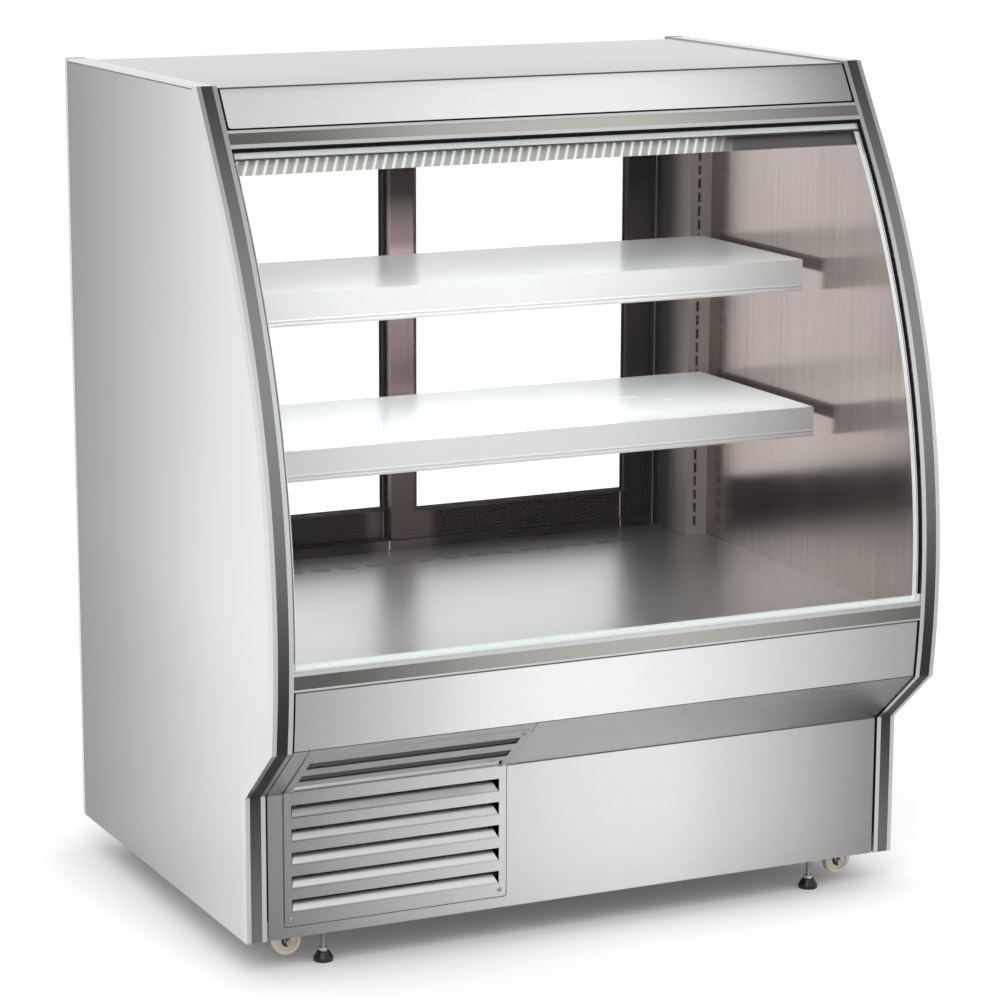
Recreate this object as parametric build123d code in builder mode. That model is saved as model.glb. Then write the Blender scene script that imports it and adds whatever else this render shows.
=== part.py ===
from build123d import *
from math import asin, cos, hypot, radians, sin, sqrt, tan
import os

# Curved glass deli display case, in millimetres.
# X runs across the front, -Y is the customer's side, Z is up, the floor is Z = 0.
# Heights are measured from the bottom of the end panels, setbacks from the foremost point.

os.makedirs("parts", exist_ok=True)

# Overall sizes
width = 1219.0
depth = 941.0
panel_height = 1370.0
floor_gap = 58.0
end_thickness = 35.0
sheet = 1.5

# Side outline of the end panels
front_radius = 1320.0
belly_height = 517.0
slope_start = 1224.6
knee_height = 347.0
shin_height = 246.0
shin_setback = 128.0

# Edge extrusions of the end panels
trim_depth = 18.0
trim_web = 5.0
trim_lip = 8.0
insert_groove = 3.0
insert_reveal = 0.6
rear_trim_depth = 12.0
seam = 1.5

# Rails, glass and front panels
header_seam = 3.0
header_inset = 0.5
header_gap = 4.0
header_corner = 5.0
upper_rail_drop = 67.0
upper_rail_height = 27.0
upper_rail_lips = (6.0, 4.5)
lower_rail_height = 32.0
lower_rail_lips = (3.5, 6.5)
rail_depth = 24.0
rail_wall = 6.0
panel_inset = 2.0
panel_seam = 1.0
panel_side_gap = 4.0

# Insulated front glass
pane = 4.0
pane_gap = 10.0
glass_inset = 5.0
glass_side_gap = 3.0
glass_top_gap = 3.0
glass_foot_gap = 2.0
spacer_side = 4.0
spacer_head = 8.0
spacer_foot = 6.0

# Louvred grille, bent over the shin corner
grille_side_gap = 32.0
grille_width = 399.0
grille_bottom = 20.0
grille_top_run = 21.0
grille_inset = 0.5
grille_corner = 12.0
grille_land = 8.0
louvre_margin = 13.0
louvre_pitch = 40.0
louvre_height = 22.0
louvre_first_drop = 21.0
louvre_count = 5
louvre_throw = 12.0
louvre_mouth = 7.0
louvre_end_slant = 7.0
slope_slot_first = 47.0
slope_slot_width = 23.0
slope_slot_pitch = 46.0
slope_slot_count = 2
bend_louvre_width = 16.0
bend_louvre_land = 6.0
bend_louvre_throw = 9.0
bend_louvre_mouth = 4.0
screw_radius = 4.0
screw_head = 1.2
screw_edge = 12.0
screw_top_run = 33.0
screw_bend_gap = 5.0
screw_low = 32.0

# Well under the deck
deck_height = 450.0
deck_sheet = 2.0
deck_step = 1.0
well_floor = 300.0
well_front = 105.0
well_back_gap = 30.0
core_bottom = 270.0
deck_slot_length = 34.0
deck_slot_width = 7.0
deck_slot_pitch = 52.0
deck_slot_side_gap = 80.0
deck_slot_front_gap = 13.0
deck_slot_back_gap = 62.0
deck_slot_spacing = 14.0
drain_side_gap = 324.5
drain_coil_gap = 60.0
drain_radius = 9.0
drain_end = 130.0

# Canopy over the display space
ceiling_drop = 80.0
canopy_lip_height = 58.0
canopy_return = 12.0
top_recess = 3.0
head_height = 24.0

# Rear frame and sliding doors
rear_recess = 25.0
frame_depth = 50.0
jamb_width = 63.5
frame_wall = 3.0
sill_height = 20.0
track_width = 7.0
track_depth = 10.0
head_track_depth = 13.0
inner_track_gap = 12.0
outer_track_gap = 13.0
door_overlap = 23.0
door_thickness = 18.0
door_stile = 46.0
door_bottom_rail = 50.0
door_top_rail = 40.0
door_gap = 0.6
door_lift = 1.0
door_tongue = 5.0
door_tongue_height = 8.0
door_glass_bite = 8.0
door_glass_thickness = 12.0
pull_length = 150.0
pull_width = 22.0
pull_recess = 8.0
pull_rise = 430.0

# Slotted corner posts, brackets and shelves
post_depth = 115.0
post_width = 44.0
slot_pitch = 25.4
slot_height = 18.0
slot_width = 5.5
slot_side_gap = 25.5
slot_rise = 29.0
slot_head_gap = 70.0
lower_shelf_slot = 9
upper_shelf_slot = 19
bracket_rise = 49.4
bracket_sheet = 2.0
bracket_root = 46.0
bracket_tip = 14.0
bracket_front_gap = 40.0
hook_height = 14.0
hook_length = 4.0
hook_drop = 3.0
shelf_side_gap = 21.5
shelf_back_gap = 7.0
lower_shelf_front = 333.0
upper_shelf_front = 382.0
lower_fascia = 52.0
upper_fascia = 55.0
fascia_depth = 9.0
fascia_ridge = 4.0
shelf_glass = 6.0
shelf_flange = 18.0

# Lamps
lamp_width = 14.0
lamp_height = 9.0
lamp_end_gap = 20.0

# Base frame
frame_lift = 28.0
tube_height = 40.0
tube_width = 50.0
tube_wall = 2.0
caster_line = 172.0
caster_back_gap = 72.0
upright = 30.0
foot_side_gap = 112.5
foot_line = 161.0
boss_radius = 10.0
boss_low = 22.0
boss_high = 50.0

# Casters
caster_side_gap = 62.5
caster_trail = 12.0
wheel_radius = 24.5
wheel_width = 18.0
wheel_floor_gap = 16.5
wheel_hub_radius = 9.0
wheel_rim = 8.0
wheel_dish = 2.0
caster_plate = 46.0
caster_plate_sheet = 3.0
race_radius = 17.0
race_height = 7.0
fork_sheet = 3.0
fork_leg = 2.5
fork_play = 1.5
axle_radius = 4.0
kingpin_radius = 4.0
pin_head_radius = 7.0
pin_head = 3.0
running_fit = 0.05
play = 0.3

# Levelling feet
stem_radius = 4.0
stem_top = 44.0
pad_radius = 16.5
pad_crown_radius = 10.0
pad_rim = 7.0
pad_height = 17.0
pad_edge = 1.5
foot_nut = 13.0
foot_nut_height = 6.0

# Refrigeration
coil_side_gap = 264.5
coil_back_gap = 116.0
coil_depth = 240.0
coil_floor_gap = 18.0
coil_deck_gap = 26.0
coil_row_inset = 40.0
coil_fin_pitch = 31.0
condenser_inset = 25.0
condenser_length = 350.0
condenser_front = 150.0
condenser_back = 194.0
condenser_head_gap = 38.0
condenser_fin_pitch = 12.5
fin_sheet = 1.2
end_sheet = 2.0
coil_tube = 5.0
fan_plate_gap = 50.0
cold_fan_x = 170.0
cold_fan_clearance = 25.0
warm_fan_radius = 64.0
fan_tip_gap = 5.0
fan_blades = 5
fan_hub = 18.0
fan_hub_length = 20.0
fan_chord = 34.0
fan_pitch_angle = 35.0
fan_shaft = 3.0
motor_radius = 24.0
motor_length = 36.0
motor_gap = 1.0
motor_bore_depth = 22.0
arm_width = 8.0
arm_sheet = 3.0
shroud_depth = 38.0
shroud_sheet = 2.0
compressor_side_gap = 244.5
compressor_coil_gap = 40.0
compressor_radius = 70.0
compressor_crown = 31.5
compressor_height = 142.0
compressor_lift = 10.0
grommet_radius = 10.0
grommet_reach = 82.0
mount_plate = 190.0
line_radius = 4.5
line_bend = 10.0
line_side_gap = 41.5
line_spacing = 53.0
liquid_line_gap = 120.0
suction_line_gap = 170.0
discharge_rise = 18.0
discharge_drop = 60.0
liquid_line_low = 95.0
suction_line_low = 160.0

# Drain pan, controls and rear panel
drain_pan_length = 340.0
drain_pan_width = 300.0
drain_pan_depth = 45.0
rear_panel_low = 5.0
rear_slot_count = 8
rear_slot_length = 300.0
rear_slot_height = 8.0
rear_slot_pitch = 20.0
rear_slot_side_gap = 274.5
control_side_gap = 244.5
control_height = 170.0
control_length = 190.0
control_tall = 80.0
control_depth = 56.0
bezel_length = 150.0
bezel_tall = 60.0
bezel_sheet = 3.0
display_length = 60.0
display_tall = 26.0
switch_offset = 52.0
switch_width = 15.0
switch_tall = 20.0
switch_swing = 11.4
switch_depth = 6.0
switch_crest = 1.0
switch_pin = 1.5
switch_tilt = 10.0
inlet_offset = -54.0
inlet_radius = 10.0
inlet_length = 8.0

# Derived places
half_width = width / 2
hx = half_width - end_thickness
y_front = -depth / 2
y_back = depth / 2
zb = floor_gap
zt = zb + panel_height
arc_y = y_front + front_radius
arc_z = zb + belly_height
shin_y = y_front + shin_setback
slope_tilt = asin((slope_start - belly_height) / front_radius)
crown_y = arc_y - front_radius * cos(slope_tilt) + (panel_height - slope_start) * tan(slope_tilt)
knee_y = arc_y - sqrt(front_radius**2 - (knee_height - belly_height) ** 2)
under_run = hypot(shin_y - knee_y, knee_height - shin_height)
under_dir = ((shin_y - knee_y) / under_run, (shin_height - knee_height) / under_run)
under_out = (under_dir[1], -under_dir[0])
upper_rail_top = panel_height - upper_rail_drop
upper_rail_bottom = upper_rail_top - upper_rail_height
header_bottom = upper_rail_top + header_seam
lower_rail_bottom = deck_height - deck_step
lower_rail_top = lower_rail_bottom + lower_rail_height
glass_top = upper_rail_bottom - glass_top_gap
glass_bottom = lower_rail_top + glass_foot_gap
spacer_inset = glass_inset + pane
inner_pane_inset = spacer_inset + pane_gap
glass_depth = inner_pane_inset + pane
ceiling = panel_height - ceiling_drop
head_top = ceiling + head_height
top_level = panel_height - top_recess
deck_top = deck_height + deck_sheet
rear_line = depth - rear_recess
frame_front = rear_line - frame_depth
post_front = frame_front - post_depth
shelf_back = post_front - shelf_back_gap
shelf_half = hx - shelf_side_gap
slot_x = hx - slot_side_gap
slot_first = deck_height + slot_rise
slot_count = int((ceiling - slot_head_gap - slot_first) / slot_pitch) + 1
opening_half = hx - jamb_width
sill_top = deck_height + sill_height
inner_track = frame_front + inner_track_gap
outer_track = rear_line - outer_track_gap
pull_height = deck_height + pull_rise
well_back = frame_front - well_back_gap
coil_half = hx - coil_side_gap
coil_back = well_back - coil_back_gap
coil_front = coil_back - coil_depth
coil_bottom = well_floor + coil_floor_gap
coil_top = deck_height - coil_deck_gap
coil_rows = [coil_bottom + (coil_top - coil_bottom) * share for share in (0.25, 0.75)]
fan_plate_line = coil_front - fan_plate_gap
cold_fan_height = (well_floor + deck_height) / 2
cold_fan_radius = (deck_height - well_floor) / 2 - cold_fan_clearance
drain_x = hx - drain_side_gap
drain_line = coil_front + drain_coil_gap
frame_under = zb + frame_lift
frame_top = frame_under + tube_height
rear_caster_line = depth - caster_back_gap
caster_x = hx - caster_side_gap
foot_x = hx - foot_side_gap
grille_left = -hx + grille_side_gap
condenser_left = grille_left + condenser_inset
condenser_right = condenser_left + condenser_length
condenser_top = core_bottom - condenser_head_gap
compressor_x = -hx + compressor_side_gap
compressor_line = coil_front + compressor_coil_gap
line_x = -hx + line_side_gap
lines_through = (
    (line_x, coil_front + liquid_line_gap),
    (line_x + line_spacing, coil_front + suction_line_gap),
)
rear_slot_x = -hx + rear_slot_side_gap
control_x = hx - control_side_gap


def plan(setback):
    """Y of a distance behind the foremost point."""
    return y_front + setback


def station(height, inset=0.0):
    """Point (y, z) of the front outline at a height, set back square to it."""
    if height >= slope_start:
        base_y = crown_y - (panel_height - height) * tan(slope_tilt)
        return (base_y + inset * cos(slope_tilt), zb + height - inset * sin(slope_tilt))
    angle = asin((height - belly_height) / front_radius)
    reach = front_radius - inset
    return (arc_y - reach * cos(angle), arc_z + reach * sin(angle))


def slope_point(level, inset=0.0):
    """Point (y, z) on the straight upper slope that keeps its level when set back."""
    return (crown_y - (panel_height - level) * tan(slope_tilt) + inset / cos(slope_tilt), zb + level)


def under_point(run, inset=0.0):
    """Point (y, z) a distance down the underside from the knee, set back square to it."""
    return (
        knee_y + run * under_dir[0] - inset * under_out[0],
        zb + knee_height + run * under_dir[1] - inset * under_out[1],
    )


def knee(inset=0.0):
    """Corner between the arc and the underside, both set back."""
    start = under_point(0.0, inset)
    from_centre = (start[0] - arc_y, start[1] - arc_z)
    along = from_centre[0] * under_dir[0] + from_centre[1] * under_dir[1]
    square = from_centre[0] ** 2 + from_centre[1] ** 2 - (front_radius - inset) ** 2
    reach = sqrt(along**2 - square)
    return under_point(min(-along - reach, -along + reach, key=abs), inset)


def shin(inset=0.0):
    """Corner between the underside and the upright kick face, both set back."""
    start = under_point(0.0, inset)
    return under_point((shin_y + inset - start[0]) / under_dir[0], inset)


def arc_between(low, high, inset):
    """Stretch of the front arc between two points that lie on it."""
    low_angle = asin((low[1] - arc_z) / (front_radius - inset))
    high_angle = asin((high[1] - arc_z) / (front_radius - inset))
    middle = (low_angle + high_angle) / 2
    reach = front_radius - inset
    ThreePointArc(low, (arc_y - reach * cos(middle), arc_z + reach * sin(middle)), high)


def side_outline(inset, top=0.0, back=0.0, bottom=0.0, mode=Mode.ADD):
    """Side view of an end panel, with its front edge set back and its other edges trimmed."""
    crown = slope_point(panel_height - top, inset)
    tangent = station(slope_start, inset)
    corner = knee(inset)
    with BuildLine() as edge:
        Line(crown, tangent)
        arc_between(corner, tangent, inset)
        Polyline(
            corner,
            shin(inset),
            (shin_y + inset, zb + bottom),
            (y_back - back, zb + bottom),
            (y_back - back, zt - top),
            crown,
        )
    make_face(edge.edges(), mode=mode)


def front_run(low, high, inset):
    """Edge that follows the front outline between two heights."""
    if low < slope_start:
        arc_between(station(low, inset), station(min(high, slope_start), inset), inset)
    if high > slope_start:
        Line(station(max(low, slope_start), inset), station(high, inset))


def front_band(low, high, outer, inner, mode=Mode.ADD):
    """Strip along the front outline, from one setback to a deeper one."""
    with BuildLine() as edge:
        front_run(low, high, outer)
        Line(station(high, outer), station(high, inner))
        front_run(low, high, inner)
        Line(station(low, inner), station(low, outer))
    make_face(edge.edges(), mode=mode)


def polygon(points, mode=Mode.ADD):
    """Face with straight sides."""
    with BuildLine() as edge:
        Polyline(*points, points[0])
    make_face(edge.edges(), mode=mode)


def block(x0, x1, y0, y1, z0, z1, mode=Mode.ADD):
    """Box between two corners."""
    with Locations(((x0 + x1) / 2, (y0 + y1) / 2, (z0 + z1) / 2)):
        Box(x1 - x0, y1 - y0, z1 - z0, mode=mode)


def rod(x, y, z0, z1, radius, mode=Mode.ADD):
    """Upright cylinder between two levels."""
    with Locations((x, y, z0)):
        Cylinder(radius, z1 - z0, align=(Align.CENTER, Align.CENTER, Align.MIN), mode=mode)


def rod_y(x, y0, y1, z, radius, mode=Mode.ADD):
    """Cylinder that runs front to back."""
    with Locations((x, y0, z)):
        Cylinder(
            radius,
            y1 - y0,
            rotation=(-90, 0, 0),
            align=(Align.CENTER, Align.CENTER, Align.MIN),
            mode=mode,
        )


def rod_x(x0, x1, y, z, radius, mode=Mode.ADD):
    """Cylinder that runs from left to right."""
    with Locations((x0, y, z)):
        Cylinder(
            radius,
            x1 - x0,
            rotation=(0, 90, 0),
            align=(Align.CENTER, Align.CENTER, Align.MIN),
            mode=mode,
        )


def save(builder, name):
    """Labels a finished piece and writes it."""
    builder.part.label = name
    export_step(builder.part, f"parts/{name}.step")


# End panels: outer skins folded over top and bottom, foam cores, polished liners
def end_skin(side):
    """Outer sheet of one end panel, folded inwards along its top and bottom."""
    face_x = side * half_width
    liner_x = side * (hx + sheet)
    with BuildPart() as skin:
        with BuildSketch(Plane.YZ.offset(face_x)):
            side_outline(trim_depth, back=rear_trim_depth + seam)
        extrude(amount=liner_x - face_x)
        with BuildSketch(Plane.YZ.offset(face_x - side * sheet)):
            side_outline(trim_depth, top=sheet, back=rear_trim_depth + seam, bottom=sheet)
        extrude(amount=liner_x - face_x + side * sheet, mode=Mode.SUBTRACT)
    return skin


end_skin_left = end_skin(-1)
save(end_skin_left, "end_skin_left")
end_skin_right = end_skin(1)
save(end_skin_right, "end_skin_right")

with BuildPart() as end_liners:
    for side in (-1, 1):
        with BuildSketch(Plane.YZ.offset(side * hx)):
            side_outline(trim_depth, back=rear_trim_depth)
        extrude(amount=side * sheet)
save(end_liners, "end_liners")

# Channels round the front and rear edges, the front ones with a groove for a dark insert
with BuildPart() as end_trims:
    for side in (-1, 1):
        with BuildSketch(Plane.YZ.offset(side * hx)):
            side_outline(0.0)
            side_outline(trim_depth, mode=Mode.SUBTRACT)
        extrude(amount=side * end_thickness)
        with BuildSketch(Plane.YZ.offset(side * (hx + sheet))):
            side_outline(trim_web)
            side_outline(trim_depth + sheet, mode=Mode.SUBTRACT)
        extrude(amount=side * (end_thickness - 2 * sheet), mode=Mode.SUBTRACT)
        with BuildSketch(Plane.YZ.offset(side * (hx + trim_lip))):
            side_outline(-sheet)
            side_outline(insert_groove, mode=Mode.SUBTRACT)
        extrude(amount=side * (end_thickness - 2 * trim_lip), mode=Mode.SUBTRACT)
        with BuildSketch(Plane.XY.offset(zb)):
            with Locations((side * (hx + end_thickness / 2), y_back - rear_trim_depth / 2)):
                Rectangle(end_thickness, rear_trim_depth)
            with Locations((side * (hx + end_thickness / 2), y_back - (rear_trim_depth + sheet) / 2)):
                Rectangle(end_thickness - 2 * sheet, rear_trim_depth - sheet, mode=Mode.SUBTRACT)
        extrude(amount=panel_height)
save(end_trims, "end_trims")

with BuildPart() as trim_inserts:
    for side in (-1, 1):
        with BuildSketch(Plane.YZ.offset(side * (hx + trim_lip))):
            side_outline(insert_reveal)
            side_outline(insert_groove, mode=Mode.SUBTRACT)
        extrude(amount=side * (end_thickness - 2 * trim_lip))
    with BuildSketch(Plane.YZ.offset(-hx)):
        front_band(
            upper_rail_bottom + upper_rail_lips[0],
            upper_rail_top - upper_rail_lips[1],
            insert_reveal,
            insert_groove,
        )
        front_band(
            lower_rail_bottom + lower_rail_lips[0],
            lower_rail_top - lower_rail_lips[1],
            insert_reveal,
            insert_groove,
        )
    extrude(amount=2 * hx)
save(trim_inserts, "trim_inserts")

# Rails across the front, above and below the glass
with BuildPart() as cross_rails:
    with BuildSketch(Plane.YZ.offset(-hx)):
        front_band(upper_rail_bottom, upper_rail_top, 0.0, rail_depth)
        front_band(
            upper_rail_bottom + upper_rail_lips[0],
            upper_rail_top - upper_rail_lips[1],
            -sheet,
            insert_groove,
            mode=Mode.SUBTRACT,
        )
        front_band(
            upper_rail_bottom + rail_wall,
            upper_rail_top - rail_wall,
            rail_wall,
            rail_depth - rail_wall,
            mode=Mode.SUBTRACT,
        )
        front_band(lower_rail_bottom, lower_rail_top, 0.0, rail_depth)
        front_band(
            lower_rail_bottom + lower_rail_lips[0],
            lower_rail_top - lower_rail_lips[1],
            -sheet,
            insert_groove,
            mode=Mode.SUBTRACT,
        )
        front_band(
            lower_rail_bottom + rail_wall,
            lower_rail_top - rail_wall,
            rail_wall,
            rail_depth - rail_wall,
            mode=Mode.SUBTRACT,
        )
    extrude(amount=2 * hx)
save(cross_rails, "cross_rails")

# Curved insulated glass between the rails
glass_half = hx - glass_side_gap
with BuildPart() as glass_outer_pane:
    with BuildSketch(Plane.YZ.offset(-glass_half)):
        front_band(glass_bottom, glass_top, glass_inset, spacer_inset)
    extrude(amount=2 * glass_half)
save(glass_outer_pane, "glass_outer_pane")

with BuildPart() as glass_inner_pane:
    with BuildSketch(Plane.YZ.offset(-glass_half)):
        front_band(glass_bottom, glass_top, inner_pane_inset, glass_depth)
    extrude(amount=2 * glass_half)
save(glass_inner_pane, "glass_inner_pane")

with BuildPart() as glass_spacer:
    with BuildSketch(Plane.YZ.offset(-glass_half)):
        front_band(glass_bottom, glass_top, spacer_inset, inner_pane_inset)
    extrude(amount=2 * glass_half)
    with BuildSketch(Plane.YZ.offset(-glass_half + spacer_side)):
        front_band(
            glass_bottom + spacer_foot,
            glass_top - spacer_head,
            glass_inset,
            glass_depth,
        )
    extrude(amount=2 * (glass_half - spacer_side), mode=Mode.SUBTRACT)
save(glass_spacer, "glass_spacer")

with BuildPart() as glass_seals:
    with BuildSketch(Plane.YZ.offset(-hx)):
        front_band(lower_rail_top, upper_rail_bottom, glass_inset, glass_depth)
    extrude(amount=2 * hx)
    with BuildSketch(Plane.YZ.offset(-glass_half)):
        front_band(glass_bottom, glass_top, 0.0, rail_depth)
    extrude(amount=2 * glass_half, mode=Mode.SUBTRACT)
    for side in (-1, 1):
        with BuildSketch(Plane.YZ.offset(side * hx)):
            polygon(
                (
                    station(upper_rail_top, panel_inset),
                    slope_point(top_level - sheet, panel_inset),
                    slope_point(top_level - sheet, rail_wall),
                    station(upper_rail_top, rail_wall),
                )
            )
        extrude(amount=-side * header_gap)
save(glass_seals, "glass_seals")

# Header panel on the slope above the glass, with rounded lower corners
header_half = hx - header_gap
header_foot = station(header_bottom, header_inset + sheet)
header_run = (top_level - header_bottom) / cos(slope_tilt)
header_plane = Plane(
    origin=(0, header_foot[0], header_foot[1]),
    x_dir=(1, 0, 0),
    z_dir=(0, -cos(slope_tilt), sin(slope_tilt)),
)
with BuildPart() as header_panel:
    with BuildSketch(header_plane) as header_face:
        with Locations((0, header_run / 2)):
            Rectangle(2 * header_half, header_run)
        fillet(header_face.vertices().group_by(Axis.Y)[0], header_corner)
    extrude(amount=sheet)
save(header_panel, "header_panel")

# Top sheet, folded down at the back over the head of the rear frame
top_front = slope_point(top_level, header_inset + sheet)[0] + sheet
with BuildPart() as top_panel:
    block(-hx, hx, top_front, plan(rear_line) + sheet, zb + top_level - sheet, zb + top_level)
    block(-hx, hx, plan(rear_line), plan(rear_line) + sheet, zb + ceiling, zb + top_level)
save(top_panel, "top_panel")

# Ceiling of the display space, with a lip behind the top of the glass
with BuildPart() as canopy_panel:
    with BuildSketch(Plane.YZ.offset(-hx)):
        lip_top = slope_point(ceiling + sheet, rail_depth)
        lip_foot = slope_point(ceiling - canopy_lip_height, rail_depth)
        lip_back = slope_point(ceiling - canopy_lip_height + sheet, rail_depth + sheet)
        polygon(
            (
                lip_top,
                lip_foot,
                (lip_foot[0] + canopy_return, lip_foot[1]),
                (lip_foot[0] + canopy_return, lip_back[1]),
                lip_back,
                slope_point(ceiling, rail_depth + sheet),
                (plan(frame_front), zb + ceiling),
                (plan(frame_front), zb + ceiling + sheet),
            )
        )
    extrude(amount=2 * hx)
save(canopy_panel, "canopy_panel")

# Folded panels below the glass
panel_half = hx - panel_side_gap
panel_back = panel_inset + sheet
panel_foot = knee(panel_back)[1] - zb + play
with BuildPart() as front_panel:
    with BuildSketch(Plane.YZ.offset(-panel_half)):
        front_band(panel_foot, lower_rail_bottom - panel_seam, panel_inset, panel_back)
    extrude(amount=2 * panel_half)
save(front_panel, "front_panel")


def cut_slope(x0, x1, run0, run1, inset0, inset1):
    """Removes a window between two distances down the underside."""
    with BuildSketch(Plane.YZ.offset(x0)) as window:
        polygon(
            (
                under_point(run0, inset0),
                under_point(run1, inset0),
                under_point(run1, inset1),
                under_point(run0, inset1),
            )
        )
    extrude(window.sketch, amount=x1 - x0, mode=Mode.SUBTRACT)


window_left = grille_left + louvre_margin
window_right = grille_left + grille_width - louvre_margin
opening_left = window_left - grille_land / 2
opening_right = window_right + grille_land / 2

with BuildPart() as underside_panel:
    with BuildSketch(Plane.YZ.offset(-panel_half)):
        polygon((knee(panel_inset), shin(panel_inset), shin(panel_back), knee(panel_back)))
    extrude(amount=2 * panel_half)
    cut_slope(opening_left, opening_right, screw_top_run + grille_land, under_run, -panel_inset, rail_depth)
save(underside_panel, "underside_panel")

with BuildPart() as kick_panel:
    with BuildSketch(Plane.YZ.offset(-panel_half)):
        polygon(
            (
                (shin_y + panel_inset, zb),
                shin(panel_inset),
                shin(panel_back),
                (shin_y + panel_back, zb),
            )
        )
    extrude(amount=2 * panel_half)
    block(
        opening_left,
        opening_right,
        shin_y,
        shin_y + rail_depth,
        zb + screw_low + grille_land,
        zb + shin_height + rail_wall,
        mode=Mode.SUBTRACT,
    )
save(kick_panel, "kick_panel")

# Grille bent over the shin corner, with pressed louvres below it and slots above it
grille_back = grille_inset + sheet
louvre_tops = [shin_height - louvre_first_drop - louvre_pitch * index for index in range(louvre_count)]
slope_slots = [slope_slot_first + slope_slot_pitch * index for index in range(slope_slot_count)]
bend_louvre_foot = under_run - bend_louvre_land
bend_louvre_head = bend_louvre_foot - bend_louvre_width
bend_louvre_crest = bend_louvre_head + bend_louvre_mouth
screw_xs = (grille_left + screw_edge, grille_left + grille_width - screw_edge)
screw_runs = (screw_top_run, under_run - screw_bend_gap)


def louvre_blade(foot, crest):
    """Pressed blade from a window's foot to its inner crest, with slanted open ends."""
    outer = Plane(
        origin=(window_left, foot[0], foot[1]),
        x_dir=(1, 0, 0),
        z_dir=Vector(1, 0, 0).cross(Vector(0, crest[0] - foot[0], crest[1] - foot[1])),
    )
    length = window_right - window_left
    reach = hypot(crest[0] - foot[0], crest[1] - foot[1])
    with BuildSketch(outer) as blade:
        polygon(
            (
                (0.0, 0.0),
                (length, 0.0),
                (length - louvre_end_slant, reach),
                (louvre_end_slant, reach),
            )
        )
    return blade.sketch


with BuildPart() as grille:
    with BuildSketch(Plane.YZ.offset(grille_left)):
        polygon(
            (
                (shin_y + grille_inset, zb + grille_bottom),
                shin(grille_inset),
                under_point(grille_top_run, grille_inset),
                under_point(grille_top_run, grille_back),
                shin(grille_back),
                (shin_y + grille_back, zb + grille_bottom),
            )
        )
    extrude(amount=grille_width)
    fillet(grille.edges().filter_by(Axis.Y).group_by(Axis.Z)[0], grille_corner)
    upper_corners = grille.edges().filter_by(lambda edge: abs(edge.length - sheet) < 0.01)
    fillet(upper_corners.group_by(Axis.Z)[-1], grille_corner)
    for top in louvre_tops:
        block(
            window_left,
            window_right,
            shin_y - rail_wall,
            shin_y + rail_wall,
            zb + top - louvre_height,
            zb + top,
            mode=Mode.SUBTRACT,
        )
    for run in slope_slots:
        cut_slope(window_left, window_right, run, run + slope_slot_width, -rail_wall, rail_wall)
    cut_slope(window_left, window_right, bend_louvre_head, bend_louvre_foot, -rail_wall, rail_wall)
    for top in louvre_tops:
        foot = (shin_y + grille_inset, zb + top - louvre_height - sheet)
        crest = (foot[0] + louvre_throw, zb + top - louvre_mouth)
        extrude(louvre_blade(foot, crest), amount=-sheet)
    bend_foot = under_point(bend_louvre_foot + sheet, grille_inset)
    bend_crest = under_point(bend_louvre_crest, grille_inset + bend_louvre_throw)
    extrude(louvre_blade(bend_foot, bend_crest), amount=-sheet)
    for x in screw_xs:
        rod_y(x, shin_y, shin_y + rail_wall, zb + screw_low, screw_radius / 2, mode=Mode.SUBTRACT)
save(grille, "grille")

with BuildPart() as panel_screws:
    for x in screw_xs:
        rod_y(x, shin_y + grille_inset - screw_head, shin_y + grille_inset, zb + screw_low, screw_radius)
        rod_y(x, shin_y + grille_inset, shin_y + panel_inset, zb + screw_low, screw_radius / 2)
        for run in screw_runs:
            seat = under_point(run - screw_head, grille_inset)
            seat_plane = Plane(
                origin=(x, seat[0], seat[1]),
                x_dir=(1, 0, 0),
                z_dir=(0, under_out[0], under_out[1]),
            )
            with BuildSketch(seat_plane) as head:
                Circle(screw_radius)
            extrude(head.sketch, amount=screw_head)
save(panel_screws, "panel_screws")

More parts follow.
